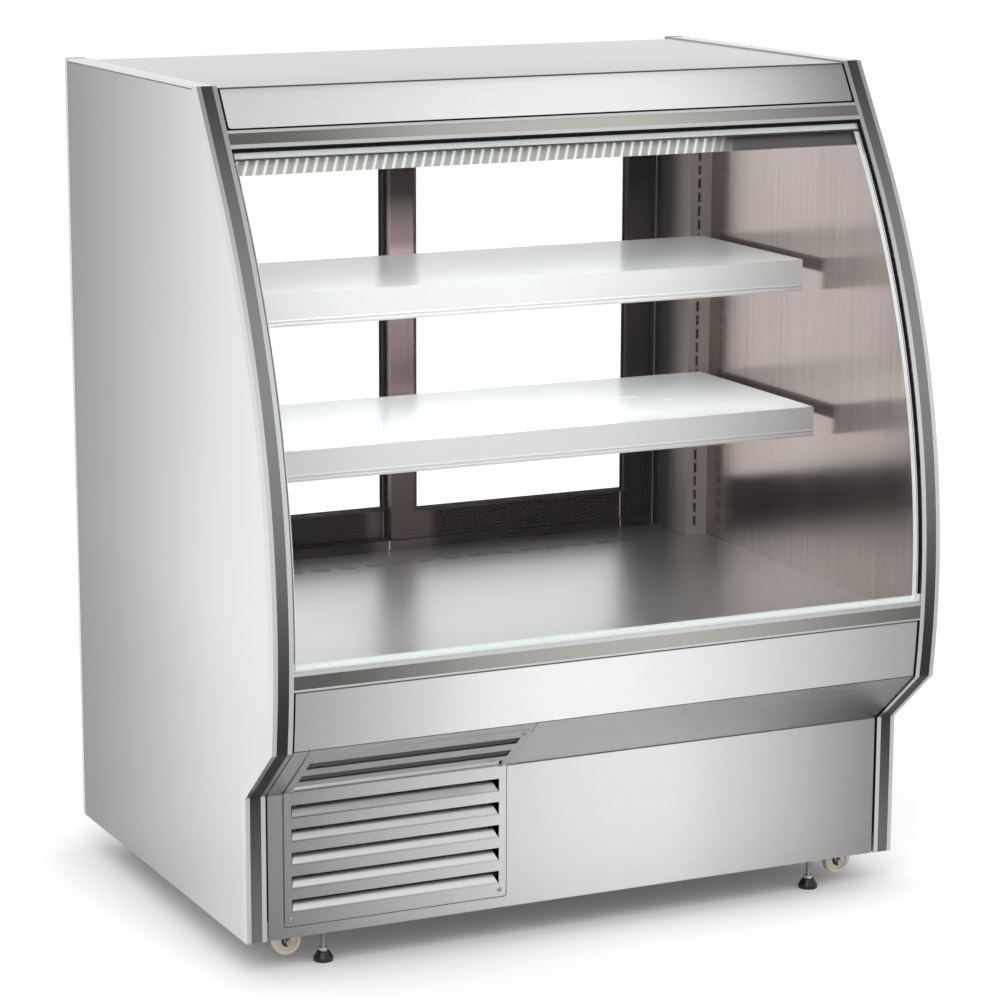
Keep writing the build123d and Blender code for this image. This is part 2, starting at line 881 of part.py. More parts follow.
# Foam: two end panels, the top and the well
with BuildPart() as foam_cores:
    for side in (-1, 1):
        with BuildSketch(Plane.YZ.offset(side * (hx + sheet))):
            side_outline(trim_web, top=sheet, back=sheet, bottom=sheet)
        extrude(amount=side * (end_thickness - 2 * sheet))
    with BuildSketch(Plane.YZ.offset(-header_half)) as top_core:
        polygon(
            (
                station(header_bottom, header_inset + sheet),
                slope_point(top_level - sheet, header_inset + sheet),
                (plan(rear_line), zb + top_level - sheet),
                (plan(rear_line), zb + head_top),
                (plan(frame_front), zb + head_top),
                (plan(frame_front), zb + ceiling + sheet),
                slope_point(ceiling + sheet, rail_depth),
                station(upper_rail_top, rail_depth),
                station(upper_rail_top, rail_wall),
                station(header_bottom, rail_wall),
            )
        )
    extrude(top_core.sketch, amount=2 * header_half)
    with BuildSketch(Plane.YZ.offset(-hx)) as well_core:
        with BuildLine() as edge:
            arc_between(knee(panel_back), station(lower_rail_bottom, panel_back), panel_back)
            end_drop = knee_height - core_bottom - panel_back * under_out[1]
            under_end = under_point(end_drop / -under_dir[1], panel_back)
            Polyline(
                station(lower_rail_bottom, panel_back),
                station(lower_rail_bottom, rail_depth),
                (station(lower_rail_bottom, rail_depth)[0], zb + deck_height - sheet),
                (plan(well_front) - sheet, zb + deck_height - sheet),
                (plan(well_front) - sheet, zb + well_floor - sheet),
                (plan(well_back) + sheet, zb + well_floor - sheet),
                (plan(well_back) + sheet, zb + deck_height - sheet),
                (plan(frame_front), zb + deck_height - sheet),
                (plan(frame_front), zb + deck_height),
                (plan(rear_line), zb + deck_height),
                (plan(rear_line), zb + core_bottom),
                (under_end[0], zb + core_bottom),
                knee(panel_back),
            )
        make_face(edge.edges())
    extrude(well_core.sketch, amount=2 * hx)
    for x, setback in lines_through:
        rod(x, plan(setback), zb + core_bottom, zb + well_floor, line_radius, mode=Mode.SUBTRACT)
    rod(drain_x, plan(drain_line), zb + core_bottom, zb + well_floor, drain_radius, mode=Mode.SUBTRACT)
save(foam_cores, "foam_cores")

# Well under the deck, with a drain
with BuildPart() as well_liner:
    block(
        -hx,
        hx,
        plan(well_front) - sheet,
        plan(well_back) + sheet,
        zb + well_floor - sheet,
        zb + deck_height,
    )
    block(
        -hx,
        hx,
        station(lower_rail_bottom, rail_depth)[0],
        plan(frame_front),
        zb + deck_height - sheet,
        zb + deck_height,
    )
    block(
        -hx + sheet,
        hx - sheet,
        plan(well_front),
        plan(well_back),
        zb + well_floor,
        zb + deck_height,
        mode=Mode.SUBTRACT,
    )
    rod(drain_x, plan(drain_line), zb + drain_end, zb + well_floor, drain_radius)
    rod(drain_x, plan(drain_line), zb + drain_end, zb + well_floor, drain_radius - sheet, mode=Mode.SUBTRACT)
    for x, setback in lines_through:
        rod(x, plan(setback), zb + well_floor - sheet, zb + well_floor, line_radius, mode=Mode.SUBTRACT)
save(well_liner, "well_liner")

# Deck over the well, with return and supply slots
deck_slot_count = int(2 * (hx - deck_slot_side_gap) / deck_slot_pitch)
deck_slot_lines = (
    well_front + deck_slot_front_gap,
    well_front + deck_slot_front_gap + deck_slot_spacing,
    well_back - deck_slot_back_gap - deck_slot_spacing,
    well_back - deck_slot_back_gap,
)
with BuildPart() as deck_pan:
    block(
        -hx,
        hx,
        station(lower_rail_bottom, rail_depth)[0],
        plan(frame_front),
        zb + deck_height,
        zb + deck_top,
    )
    for line in deck_slot_lines:
        with Locations((0, plan(line), zb + deck_height)):
            with GridLocations(deck_slot_pitch, 1, deck_slot_count, 1):
                Box(
                    deck_slot_length,
                    deck_slot_width,
                    deck_sheet,
                    align=(Align.CENTER, Align.CENTER, Align.MIN),
                    mode=Mode.SUBTRACT,
                )
save(deck_pan, "deck_pan")

# Evaporator coil standing in the well
coil_middle = (coil_front + coil_back) / 2
coil_lines = (coil_front + coil_row_inset, coil_middle, coil_back - coil_row_inset)
coil_fin_count = 2 * int(coil_half / coil_fin_pitch) - 1
with BuildPart() as evaporator_coil:
    with Locations((0, plan(coil_middle), zb + (coil_bottom + coil_top) / 2)):
        with GridLocations(coil_fin_pitch, 1, coil_fin_count, 1):
            Box(fin_sheet, coil_depth, coil_top - coil_bottom)
    for side in (-1, 1):
        x0 = min(side * coil_half, side * (coil_half - end_sheet))
        block(x0, x0 + end_sheet, plan(coil_front), plan(coil_back), zb + well_floor, zb + coil_top)
    for line in coil_lines:
        for height in coil_rows:
            rod_x(-coil_half, coil_half, plan(line), zb + height, coil_tube)
save(evaporator_coil, "evaporator_coil")


# Fans: bladed wheels on short shafts, each running in a motor held on four arms
def fan_wheel(x, front, z, radius):
    """Fan with pitched blades and a shaft out of its back."""
    middle = front + fan_hub_length / 2
    with BuildPart() as fan:
        for index in range(fan_blades):
            turn = radians(360 / fan_blades * index)
            pitch = radians(fan_pitch_angle)
            blade_plane = Plane(
                origin=(x, middle, z),
                x_dir=(cos(turn), 0, sin(turn)),
                z_dir=(-sin(pitch) * sin(turn), cos(pitch), sin(pitch) * cos(turn)),
            )
            with BuildSketch(blade_plane) as blade:
                with Locations(((radius + fan_hub / 2) / 2, 0)):
                    Rectangle(radius - fan_hub / 2, fan_chord)
                tip_round = min(fan_chord, radius - fan_hub / 2) / 3
                fillet(blade.vertices().group_by(Axis.X)[-1], tip_round)
            extrude(blade.sketch, amount=sheet / 2, both=True)
        rod_y(x, front, front + fan_hub_length, z, fan_hub)
        rod_y(x, front, front + fan_hub_length, z, radius, mode=Mode.INTERSECT)
        rod_y(x, front, front + fan_hub_length + motor_gap + motor_length / 2, z, fan_shaft)
    return fan


def fan_motor(x, front, z, arm_reach):
    """Motor with a bored nose and four flat arms, added to the piece being made."""
    back = front + motor_length
    for x0, x1, z0, z1 in (
        (x - arm_reach, x + arm_reach, z - arm_width / 2, z + arm_width / 2),
        (x - arm_width / 2, x + arm_width / 2, z - arm_reach, z + arm_reach),
    ):
        block(x0, x1, back - arm_sheet, back, z0, z1)
    rod_y(x, front, back, z, motor_radius)
    rod_y(x, front, front + motor_bore_depth, z, fan_shaft + running_fit, mode=Mode.SUBTRACT)


cold_fan_front = plan(fan_plate_line) - fan_hub_length / 2
with BuildPart() as evaporator_fan_plate:
    plate_y = plan(fan_plate_line)
    cold_z = zb + cold_fan_height
    block(-hx + sheet, hx - sheet, plate_y, plate_y + end_sheet, zb + well_floor, zb + deck_height - sheet)
    for side in (-1, 1):
        x = side * cold_fan_x
        ring = cold_fan_radius + fan_tip_gap
        motor_front = cold_fan_front + fan_hub_length + motor_gap
        rod_y(x, plate_y, motor_front + motor_length, cold_z, ring + sheet)
        rod_y(x, plate_y - end_sheet, motor_front + motor_length, cold_z, ring, mode=Mode.SUBTRACT)
        fan_motor(x, motor_front, cold_z, ring + sheet / 2)
save(evaporator_fan_plate, "evaporator_fan_plate")

evaporator_fan_left = fan_wheel(-cold_fan_x, cold_fan_front, zb + cold_fan_height, cold_fan_radius)
save(evaporator_fan_left, "evaporator_fan_left")
evaporator_fan_right = fan_wheel(cold_fan_x, cold_fan_front, zb + cold_fan_height, cold_fan_radius)
save(evaporator_fan_right, "evaporator_fan_right")

# Base frame of rectangular tube on four uprights, with a floor plate and foot bosses
foot_lines = (plan(foot_line), plan(rear_caster_line + caster_line - foot_line))
caster_lines = (plan(caster_line), plan(rear_caster_line))
frame_front_y = caster_lines[0] - tube_width / 2
frame_back_y = caster_lines[1] + tube_width / 2
with BuildPart() as base_frame:
    with BuildSketch(Plane.XY.offset(frame_under)) as ring:
        with Locations((0, (frame_front_y + frame_back_y) / 2)):
            Rectangle(2 * hx, frame_back_y - frame_front_y)
            Rectangle(
                2 * (hx - tube_width),
                frame_back_y - frame_front_y - 2 * tube_width,
                mode=Mode.SUBTRACT,
            )
    extrude(ring.sketch, amount=tube_height)
    with BuildSketch(Plane.XY.offset(frame_under + tube_wall)) as bore:
        with Locations((0, (frame_front_y + frame_back_y) / 2)):
            Rectangle(2 * (hx - tube_wall), frame_back_y - frame_front_y - 2 * tube_wall)
            Rectangle(
                2 * (hx - tube_width + tube_wall),
                frame_back_y - frame_front_y - 2 * (tube_width - tube_wall),
                mode=Mode.SUBTRACT,
            )
    extrude(bore.sketch, amount=tube_height - 2 * tube_wall, mode=Mode.SUBTRACT)
    block(-hx + upright, hx - upright, frame_front_y, frame_back_y, frame_top, frame_top + sheet)
    for side in (-1, 1):
        for y0 in (frame_front_y, frame_back_y - upright):
            x0 = min(side * hx, side * (hx - upright))
            block(x0, x0 + upright, y0, y0 + upright, frame_top, zb + core_bottom)
        for y in foot_lines:
            rod(side * foot_x, y, zb + boss_low, zb + boss_high, boss_radius)
            rod(side * foot_x, y, zb + boss_low, zb + boss_high, stem_radius + running_fit, mode=Mode.SUBTRACT)
save(base_frame, "base_frame")

# Compressor on rubber grommets
unit_floor = frame_top + sheet
compressor_y = plan(compressor_line)
shell_low = unit_floor + compressor_lift
shell_high = shell_low + compressor_height
with BuildPart() as compressor:
    rod(compressor_x, compressor_y, shell_low, shell_high, compressor_radius)
    fillet(compressor.edges().filter_by(GeomType.CIRCLE), compressor_crown)
    with Locations((compressor_x, compressor_y, shell_low + sheet)):
        Box(mount_plate, mount_plate, 2 * sheet)
    with Locations((compressor_x, compressor_y, unit_floor)):
        with GridLocations(2 * grommet_reach, 2 * grommet_reach, 2, 2):
            Cylinder(
                grommet_radius,
                compressor_lift,
                align=(Align.CENTER, Align.CENTER, Align.MIN),
            )
save(compressor, "compressor")

# Condenser behind the grille, with its shroud and fan
condenser_x = (condenser_left + condenser_right) / 2
condenser_middle = (condenser_front + condenser_back) / 2
condenser_fin_count = int(condenser_length / condenser_fin_pitch)
with BuildPart() as condenser_coil:
    fin_height = zb + condenser_top - unit_floor
    with Locations((condenser_x, plan(condenser_middle), unit_floor + fin_height / 2)):
        with GridLocations(condenser_fin_pitch, 1, condenser_fin_count, 1):
            Box(fin_sheet, condenser_back - condenser_front, fin_height)
    for x0 in (condenser_left, condenser_right - end_sheet):
        block(
            x0,
            x0 + end_sheet,
            plan(condenser_front),
            plan(condenser_back),
            unit_floor,
            zb + condenser_top,
        )
    for share in (0.15, 0.5, 0.85):
        rod_x(
            condenser_left,
            condenser_right,
            plan(condenser_middle),
            unit_floor + share * fin_height,
            coil_tube,
        )
save(condenser_coil, "condenser_coil")

shroud_front = plan(condenser_back)
shroud_back = shroud_front + shroud_depth
warm_z = (unit_floor + zb + condenser_top) / 2
warm_fan_front = shroud_back - fan_hub_length + sheet
warm_ring = warm_fan_radius + fan_tip_gap
with BuildPart() as condenser_shroud:
    block(condenser_left, condenser_right, shroud_front, shroud_back, unit_floor, zb + condenser_top)
    block(
        condenser_left + shroud_sheet,
        condenser_right - shroud_sheet,
        shroud_front,
        shroud_back - shroud_sheet,
        unit_floor + shroud_sheet,
        zb + condenser_top - shroud_sheet,
        mode=Mode.SUBTRACT,
    )
    warm_motor_front = warm_fan_front + fan_hub_length + motor_gap
    rod_y(condenser_x, shroud_back - shroud_sheet, warm_motor_front + motor_length, warm_z, warm_ring + sheet)
    rod_y(condenser_x, shroud_front, warm_motor_front + motor_length, warm_z, warm_ring, mode=Mode.SUBTRACT)
    fan_motor(condenser_x, warm_motor_front, warm_z, warm_ring + sheet / 2)
save(condenser_shroud, "condenser_shroud")

condenser_fan = fan_wheel(condenser_x, warm_fan_front, warm_z, warm_fan_radius)
save(condenser_fan, "condenser_fan")


# Copper lines: discharge, liquid and suction
def line_run(points):
    """Bent tube through a list of corners, added to the piece being made."""
    with BuildLine() as path:
        FilletPolyline(*points, radius=line_bend)
    start = Plane(origin=path.line @ 0, z_dir=path.line % 0)
    with BuildSketch(start) as section:
        Circle(line_radius)
    sweep(section.sketch, path=path.line)


with BuildPart() as refrigerant_lines:
    roof = shell_high + discharge_rise
    line_run(
        (
            (compressor_x, compressor_y, shell_high),
            (compressor_x, compressor_y, roof),
            (line_x, compressor_y, roof),
            (line_x, plan(condenser_middle), roof),
            (line_x, plan(condenser_middle), roof - discharge_drop),
        )
    )
    liquid_y = plan(lines_through[0][1])
    line_run(
        (
            (line_x, plan(condenser_middle), zb + liquid_line_low),
            (line_x, liquid_y, zb + liquid_line_low),
            (line_x, liquid_y, zb + coil_rows[0]),
            (-coil_half, liquid_y, zb + coil_rows[0]),
        )
    )
    suction_x, suction_line = lines_through[1]
    line_run(
        (
            (-coil_half, plan(suction_line), zb + coil_rows[1]),
            (suction_x, plan(suction_line), zb + coil_rows[1]),
            (suction_x, plan(suction_line), zb + suction_line_low),
            (suction_x, compressor_y, zb + suction_line_low),
            (compressor_x - compressor_radius, compressor_y, zb + suction_line_low),
        )
    )
save(refrigerant_lines, "refrigerant_lines")

# Drain pan under the drain
with BuildPart() as drain_pan:
    block(
        drain_x - drain_pan_length / 2,
        drain_x + drain_pan_length / 2,
        plan(drain_line) - drain_pan_width / 2,
        plan(drain_line) + drain_pan_width / 2,
        unit_floor,
        unit_floor + drain_pan_depth,
    )
    fillet(drain_pan.edges().filter_by(Axis.Z), 2 * rail_wall)
    offset(amount=-2 * sheet, openings=drain_pan.faces().sort_by(Axis.Z)[-1])
save(drain_pan, "drain_pan")

# Rear panel with air slots and an opening for the controls
rear_y = plan(rear_line)
switch_x = control_x + switch_offset
control_z = zb + control_height
with BuildPart() as rear_vent_panel:
    block(-hx, hx, rear_y, rear_y + sheet, zb + rear_panel_low, zb + deck_height)
    with BuildSketch(Plane.XZ.offset(-rear_y)) as slots:
        with Locations((rear_slot_x, control_z)):
            with GridLocations(1, rear_slot_pitch, 1, rear_slot_count):
                SlotOverall(rear_slot_length, rear_slot_height)
        with Locations((control_x, control_z)):
            Rectangle(bezel_length, bezel_tall)
    extrude(slots.sketch, amount=-sheet, mode=Mode.SUBTRACT)
save(rear_vent_panel, "rear_vent_panel")

with BuildPart() as control_box:
    half_length = control_length / 2
    half_tall = control_tall / 2
    block(
        control_x - half_length,
        control_x + half_length,
        rear_y - control_depth,
        rear_y,
        control_z - half_tall,
        control_z + half_tall,
    )
    block(
        control_x - bezel_length / 2,
        control_x + bezel_length / 2,
        rear_y,
        rear_y + bezel_sheet,
        control_z - bezel_tall / 2,
        control_z + bezel_tall / 2,
    )
    block(
        control_x - half_length + sheet,
        control_x + half_length - sheet,
        rear_y - control_depth + sheet,
        rear_y - 2 * bezel_sheet,
        control_z - half_tall + sheet,
        control_z + half_tall - sheet,
        mode=Mode.SUBTRACT,
    )
    block(
        control_x - display_length / 2,
        control_x + display_length / 2,
        rear_y + bezel_sheet / 2,
        rear_y + bezel_sheet,
        control_z - display_tall / 2,
        control_z + display_tall / 2,
        mode=Mode.SUBTRACT,
    )
    block(
        switch_x - switch_width / 2 - play,
        switch_x + switch_width / 2 + play,
        rear_y - 3 * bezel_sheet,
        rear_y + bezel_sheet,
        control_z - switch_swing,
        control_z + switch_swing,
        mode=Mode.SUBTRACT,
    )
    rod_x(
        switch_x - switch_width / 2 - bezel_sheet,
        switch_x + switch_width / 2 + bezel_sheet,
        rear_y - bezel_sheet,
        control_z,
        switch_pin + running_fit,
        mode=Mode.SUBTRACT,
    )
    inlet_x = control_x + inlet_offset
    rod_y(inlet_x, rear_y + bezel_sheet, rear_y + bezel_sheet + inlet_length, control_z, inlet_radius)
    rod_y(
        inlet_x,
        rear_y + bezel_sheet,
        rear_y + bezel_sheet + inlet_length,
        control_z,
        inlet_radius / 2,
        mode=Mode.SUBTRACT,
    )
save(control_box, "control_box")

# Rocker with two facets, turned to the end of its travel
with BuildPart() as light_switch:
    rocker_plane = Plane(
        origin=(switch_x - switch_width / 2, rear_y - bezel_sheet, control_z),
        x_dir=(0, cos(radians(switch_tilt)), sin(radians(switch_tilt))),
        z_dir=(1, 0, 0),
    )
    with BuildSketch(rocker_plane) as rocker:
        polygon(
            (
                (-switch_pin * 2, -switch_tall / 4),
                (switch_depth + switch_crest, -switch_tall / 2),
                (switch_depth, 0.0),
                (switch_depth + switch_crest, switch_tall / 2),
                (-switch_pin * 2, switch_tall / 4),
            )
        )
    extrude(rocker.sketch, amount=switch_width)
    rod_x(
        switch_x - switch_width / 2 - bezel_sheet + play,
        switch_x + switch_width / 2 + bezel_sheet - play,
        rear_y - bezel_sheet,
        control_z,
        switch_pin,
    )
save(light_switch, "light_switch")

# Rear frame with two sliding tracks
frame_middle = plan((frame_front + rear_line) / 2)
with BuildPart() as rear_frame:
    block(-hx, hx, plan(frame_front), rear_y, zb + deck_height, zb + head_top)
    block(-opening_half, opening_half, plan(frame_front), rear_y, zb + sill_top, zb + ceiling, mode=Mode.SUBTRACT)
    for track in (inner_track, outer_track):
        block(
            -opening_half,
            opening_half,
            plan(track) - track_width / 2,
            plan(track) + track_width / 2,
            zb + sill_top - track_depth,
            zb + ceiling + head_track_depth,
            mode=Mode.SUBTRACT,
        )
    for side in (-1, 1):
        block(
            min(side * (hx - frame_wall), side * (opening_half + frame_wall)),
            max(side * (hx - frame_wall), side * (opening_half + frame_wall)),
            plan(frame_front) + frame_wall,
            rear_y - frame_wall,
            zb + sill_top,
            zb + ceiling,
            mode=Mode.SUBTRACT,
        )
save(rear_frame, "rear_frame")


def door_pieces(side, track):
    """Frame and insulated pane of one sliding door, with tongues that run in the tracks."""
    outer_x = side * (opening_half - door_gap)
    inner_x = -side * door_overlap
    x0 = min(outer_x, inner_x)
    x1 = max(outer_x, inner_x)
    y0 = plan(track) - door_thickness / 2
    y1 = plan(track) + door_thickness / 2
    z0 = zb + sill_top + door_lift
    z1 = zb + ceiling - door_lift
    glass_y0 = plan(track) - door_glass_thickness / 2
    glass_y1 = plan(track) + door_glass_thickness / 2
    glass_x0 = x0 + door_stile - door_glass_bite
    glass_x1 = x1 - door_stile + door_glass_bite
    glass_z0 = z0 + door_bottom_rail - door_glass_bite
    glass_z1 = z1 - door_top_rail + door_glass_bite
    pull_x = outer_x - side * door_stile / 2
    with BuildPart() as frame:
        block(x0, x1, y0, y1, z0, z1)
        block(
            x0 + door_stile,
            x1 - door_stile,
            y0,
            y1,
            z0 + door_bottom_rail,
            z1 - door_top_rail,
            mode=Mode.SUBTRACT,
        )
        block(glass_x0, glass_x1, glass_y0, glass_y1, glass_z0, glass_z1, mode=Mode.SUBTRACT)
        for tongue_z in (z0 - door_tongue_height, z1):
            block(
                x0,
                x1,
                plan(track) - door_tongue / 2,
                plan(track) + door_tongue / 2,
                tongue_z,
                tongue_z + door_tongue_height,
            )
        block(
            pull_x - pull_width / 2,
            pull_x + pull_width / 2,
            y1 - pull_recess,
            y1,
            zb + pull_height - pull_length / 2,
            zb + pull_height + pull_length / 2,
            mode=Mode.SUBTRACT,
        )
    with BuildPart() as glass:
        block(glass_x0, glass_x1, glass_y0, glass_y1, glass_z0, glass_z1)
    return frame, glass


left_door_frame, left_door_glass = door_pieces(-1, outer_track)
save(left_door_frame, "left_door_frame")
save(left_door_glass, "left_door_glass")
right_door_frame, right_door_glass = door_pieces(1, inner_track)
save(right_door_frame, "right_door_frame")
save(right_door_glass, "right_door_glass")

# Slotted posts in the rear corners
with BuildPart() as corner_posts:
    for side in (-1, 1):
        x0 = min(side * hx, side * (hx - post_width))
        block(x0, x0 + post_width, plan(post_front), plan(frame_front), zb + deck_top, zb + ceiling)
        block(
            x0 + sheet,
            x0 + post_width - sheet,
            plan(post_front) + sheet,
            plan(frame_front) - sheet,
            zb + deck_top,
            zb + ceiling,
            mode=Mode.SUBTRACT,
        )
        slot_middle = slot_first + slot_pitch * (slot_count - 1) / 2
        with Locations((side * slot_x, plan(post_front) + sheet / 2, zb + slot_middle)):
            with Locations([(0, 0, slot_pitch * (n - (slot_count - 1) / 2)) for n in range(slot_count)]):
                Box(slot_width, 2 * sheet, slot_height, mode=Mode.SUBTRACT)
save(corner_posts, "corner_posts")

# Brackets hooked into the posts, trays and glass shelves
shelf_fronts = (lower_shelf_front, upper_shelf_front)
shelf_unders = [slot_first + slot_pitch * slot + bracket_rise for slot in (lower_shelf_slot, upper_shelf_slot)]
with BuildPart() as shelf_brackets:
    for side in (-1, 1):
        for under, front in zip(shelf_unders, shelf_fronts):
            root_y = plan(post_front)
            tip_y = plan(front + fascia_depth + bracket_front_gap)
            top_z = zb + under
            x = side * slot_x - bracket_sheet / 2
            with BuildSketch(Plane.YZ.offset(x)) as bracket:
                polygon(
                    (
                        (root_y, top_z),
                        (root_y, top_z - bracket_root),
                        (root_y - bracket_root, top_z - bracket_root),
                        (tip_y, top_z - bracket_tip),
                        (tip_y, top_z),
                    )
                )
                for step in (0, 1):
                    hook_z = top_z - bracket_rise + slot_pitch * step
                    polygon(
                        (
                            (root_y - sheet, hook_z + hook_height / 2),
                            (root_y - sheet, hook_z - hook_height / 2),
                            (root_y + sheet + hook_length, hook_z - hook_height / 2 - hook_drop),
                            (root_y + sheet + hook_length, hook_z),
                        )
                    )
            extrude(bracket.sketch, amount=bracket_sheet)
save(shelf_brackets, "shelf_brackets")


def shelf_pieces(front, under, fascia_height):
    """Tray with a ridged fascia, and the glass plate that lies on it."""
    tray_top = zb + under + sheet
    glass_high = tray_top + shelf_glass
    fascia_low = glass_high - fascia_height
    with BuildPart() as tray:
        with BuildSketch(Plane.YZ.offset(-shelf_half)) as profile:
            polygon(
                (
                    (plan(front), glass_high),
                    (plan(front), fascia_low + 3 * fascia_ridge),
                    (plan(front) - sheet, fascia_low + 5 * fascia_ridge / 2),
                    (plan(front), fascia_low + 3 * fascia_ridge / 2),
                    (plan(front) - sheet, fascia_low + fascia_ridge),
                    (plan(front), fascia_low),
                    (plan(front) + fascia_depth, fascia_low),
                    (plan(front) + fascia_depth, fascia_low + sheet),
                    (plan(front) + 2 * sheet, fascia_low + sheet),
                    (plan(front) + 2 * sheet, zb + under),
                    (plan(shelf_back), zb + under),
                    (plan(shelf_back), tray_top),
                    (plan(front) + 2 * sheet, tray_top),
                    (plan(front) + 2 * sheet, glass_high),
                )
            )
        extrude(profile.sketch, amount=2 * shelf_half)
        for side in (-1, 1):
            x0 = min(side * shelf_half, side * (shelf_half - sheet))
            block(
                x0,
                x0 + sheet,
                plan(front) + 2 * sheet,
                plan(shelf_back),
                zb + under - shelf_flange,
                zb + under,
            )
    with BuildPart() as glass:
        block(-shelf_half, shelf_half, plan(front) + 2 * sheet, plan(shelf_back), tray_top, glass_high)
        fillet(glass.edges().filter_by(Axis.Z), 2 * sheet)
    return tray, glass


lower_shelf_tray, lower_shelf_glass = shelf_pieces(lower_shelf_front, shelf_unders[0], lower_fascia)
save(lower_shelf_tray, "lower_shelf_tray")
save(lower_shelf_glass, "lower_shelf_glass")
upper_shelf_tray, upper_shelf_glass = shelf_pieces(upper_shelf_front, shelf_unders[1], upper_fascia)
save(upper_shelf_tray, "upper_shelf_tray")
save(upper_shelf_glass, "upper_shelf_glass")

# Lamps under the ceiling and behind each fascia
canopy_lamp_y = slope_point(ceiling, rail_depth + sheet)[0] + lamp_width
lamp_places = [(canopy_lamp_y, zb + ceiling, hx - lamp_end_gap)]
for front, under in zip(shelf_fronts, shelf_unders):
    lamp_y = plan(front) + fascia_depth + lamp_width
    lamp_places.append((lamp_y, zb + under, shelf_half - lamp_end_gap))
with BuildPart() as led_lamps:
    for lamp_y, roof_z, half_length in lamp_places:
        block(
            -half_length,
            half_length,
            lamp_y - lamp_width / 2,
            lamp_y + lamp_width / 2,
            roof_z - lamp_height,
            roof_z,
        )
    fillet(led_lamps.edges().filter_by(Axis.X).group_by(Axis.Z)[0], 3 * sheet)
save(led_lamps, "led_lamps")

# Casters: fixed plates with a race and kingpin, swivelling forks, wheels on axles
race_low = frame_under - caster_plate_sheet - race_height
crown_top = race_low - play
crown_low = crown_top - fork_sheet
head_high = crown_low - play
wheel_z = wheel_floor_gap + wheel_radius
caster_corners = {
    "front_left": (-1, caster_lines[0]),
    "front_right": (1, caster_lines[0]),
    "rear_left": (-1, caster_lines[1]),
    "rear_right": (1, caster_lines[1]),
}
with BuildPart() as caster_plates:
    for side, y in caster_corners.values():
        x = side * caster_x
        with Locations((x, y, frame_under - caster_plate_sheet / 2)):
            Box(caster_plate, caster_plate, caster_plate_sheet)
        rod(x, y, race_low, frame_under - caster_plate_sheet, race_radius)
        rod(x, y, head_high - pin_head, race_low, kingpin_radius)
        rod(x, y, head_high - pin_head, head_high, pin_head_radius)
save(caster_plates, "caster_plates")


def caster_fork(side, y):
    """Fork with two legs and an axle, its wheel set outwards of the kingpin."""
    x = side * caster_x
    axle_x = x + side * caster_trail
    leg_inner = wheel_width / 2 + fork_play
    with BuildPart() as fork:
        with BuildSketch(Plane.XY.offset(crown_low)) as crown:
            with Locations((x, y)):
                Circle(race_radius)
            with Locations(((x + axle_x) / 2, y)):
                Rectangle(caster_trail, 2 * (leg_inner + fork_leg))
        extrude(crown.sketch, amount=fork_sheet)
        for leg in (-1, 1):
            leg_y = y + leg * leg_inner
            with BuildSketch(Plane.XZ.offset(-leg_y)) as cheek:
                with BuildLine() as edge:
                    Polyline(
                        (x - side * axle_radius, crown_top),
                        (axle_x - side * 2 * axle_radius, wheel_z),
                        (axle_x, wheel_z - 2 * axle_radius),
                        (axle_x + side * 2 * axle_radius, wheel_z),
                        (axle_x + side * 2 * axle_radius, crown_top),
                        (x - side * axle_radius, crown_top),
                    )
                make_face(edge.edges())
            extrude(cheek.sketch, amount=-leg * fork_leg)
        reach = leg_inner + fork_leg + sheet
        rod_y(axle_x, y - reach, y + reach, wheel_z, axle_radius)
        rod(x, y, crown_low, crown_top, kingpin_radius + running_fit, mode=Mode.SUBTRACT)
    return fork


def caster_wheel(side, y):
    """Wheel with a rounded tread, dished sides and a bore for the axle."""
    axle_x = side * (caster_x + caster_trail)
    half = wheel_width / 2
    with BuildPart() as wheel:
        rod_y(axle_x, y - half, y + half, wheel_z, wheel_radius)
        fillet(wheel.edges().filter_by(GeomType.CIRCLE), half / 2)
        for dish in (-1, 1):
            near = y + dish * (half - wheel_dish)
            far = y + dish * half
            rod_y(axle_x, min(near, far), max(near, far), wheel_z, wheel_radius - wheel_rim, mode=Mode.SUBTRACT)
        rod_y(axle_x, y - half, y + half, wheel_z, wheel_hub_radius)
        rod_y(axle_x, y - half, y + half, wheel_z, axle_radius + running_fit, mode=Mode.SUBTRACT)
    return wheel


for corner, (side, y) in caster_corners.items():
    save(caster_fork(side, y), f"caster_fork_{corner}")
    save(caster_wheel(side, y), f"caster_wheel_{corner}")


# Levelling feet screwed into the frame's bosses
def levelling_foot(x, y):
    """Foot with a domed pad, a hexagonal nut and a stem."""
    with BuildPart() as foot:
        rod(x, y, 0.0, pad_rim, pad_radius)
        with Locations((x, y, pad_rim)):
            Cone(
                pad_radius,
                pad_crown_radius,
                pad_height - pad_rim,
                align=(Align.CENTER, Align.CENTER, Align.MIN),
            )
        fillet(foot.edges().filter_by(GeomType.CIRCLE), pad_edge)
        with BuildSketch(Plane.XY.offset(pad_height)) as nut:
            with Locations((x, y)):
                RegularPolygon(foot_nut / 2, 6, major_radius=False)
        extrude(nut.sketch, amount=foot_nut_height)
        rod(x, y, pad_height, zb + stem_top, stem_radius)
    return foot


for corner, (side, y) in caster_corners.items():
    line = foot_lines[0] if corner.startswith("front") else foot_lines[1]
    save(levelling_foot(side * foot_x, line), f"foot_{corner}")
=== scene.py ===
import math

import bpy
from mathutils import Matrix, Vector


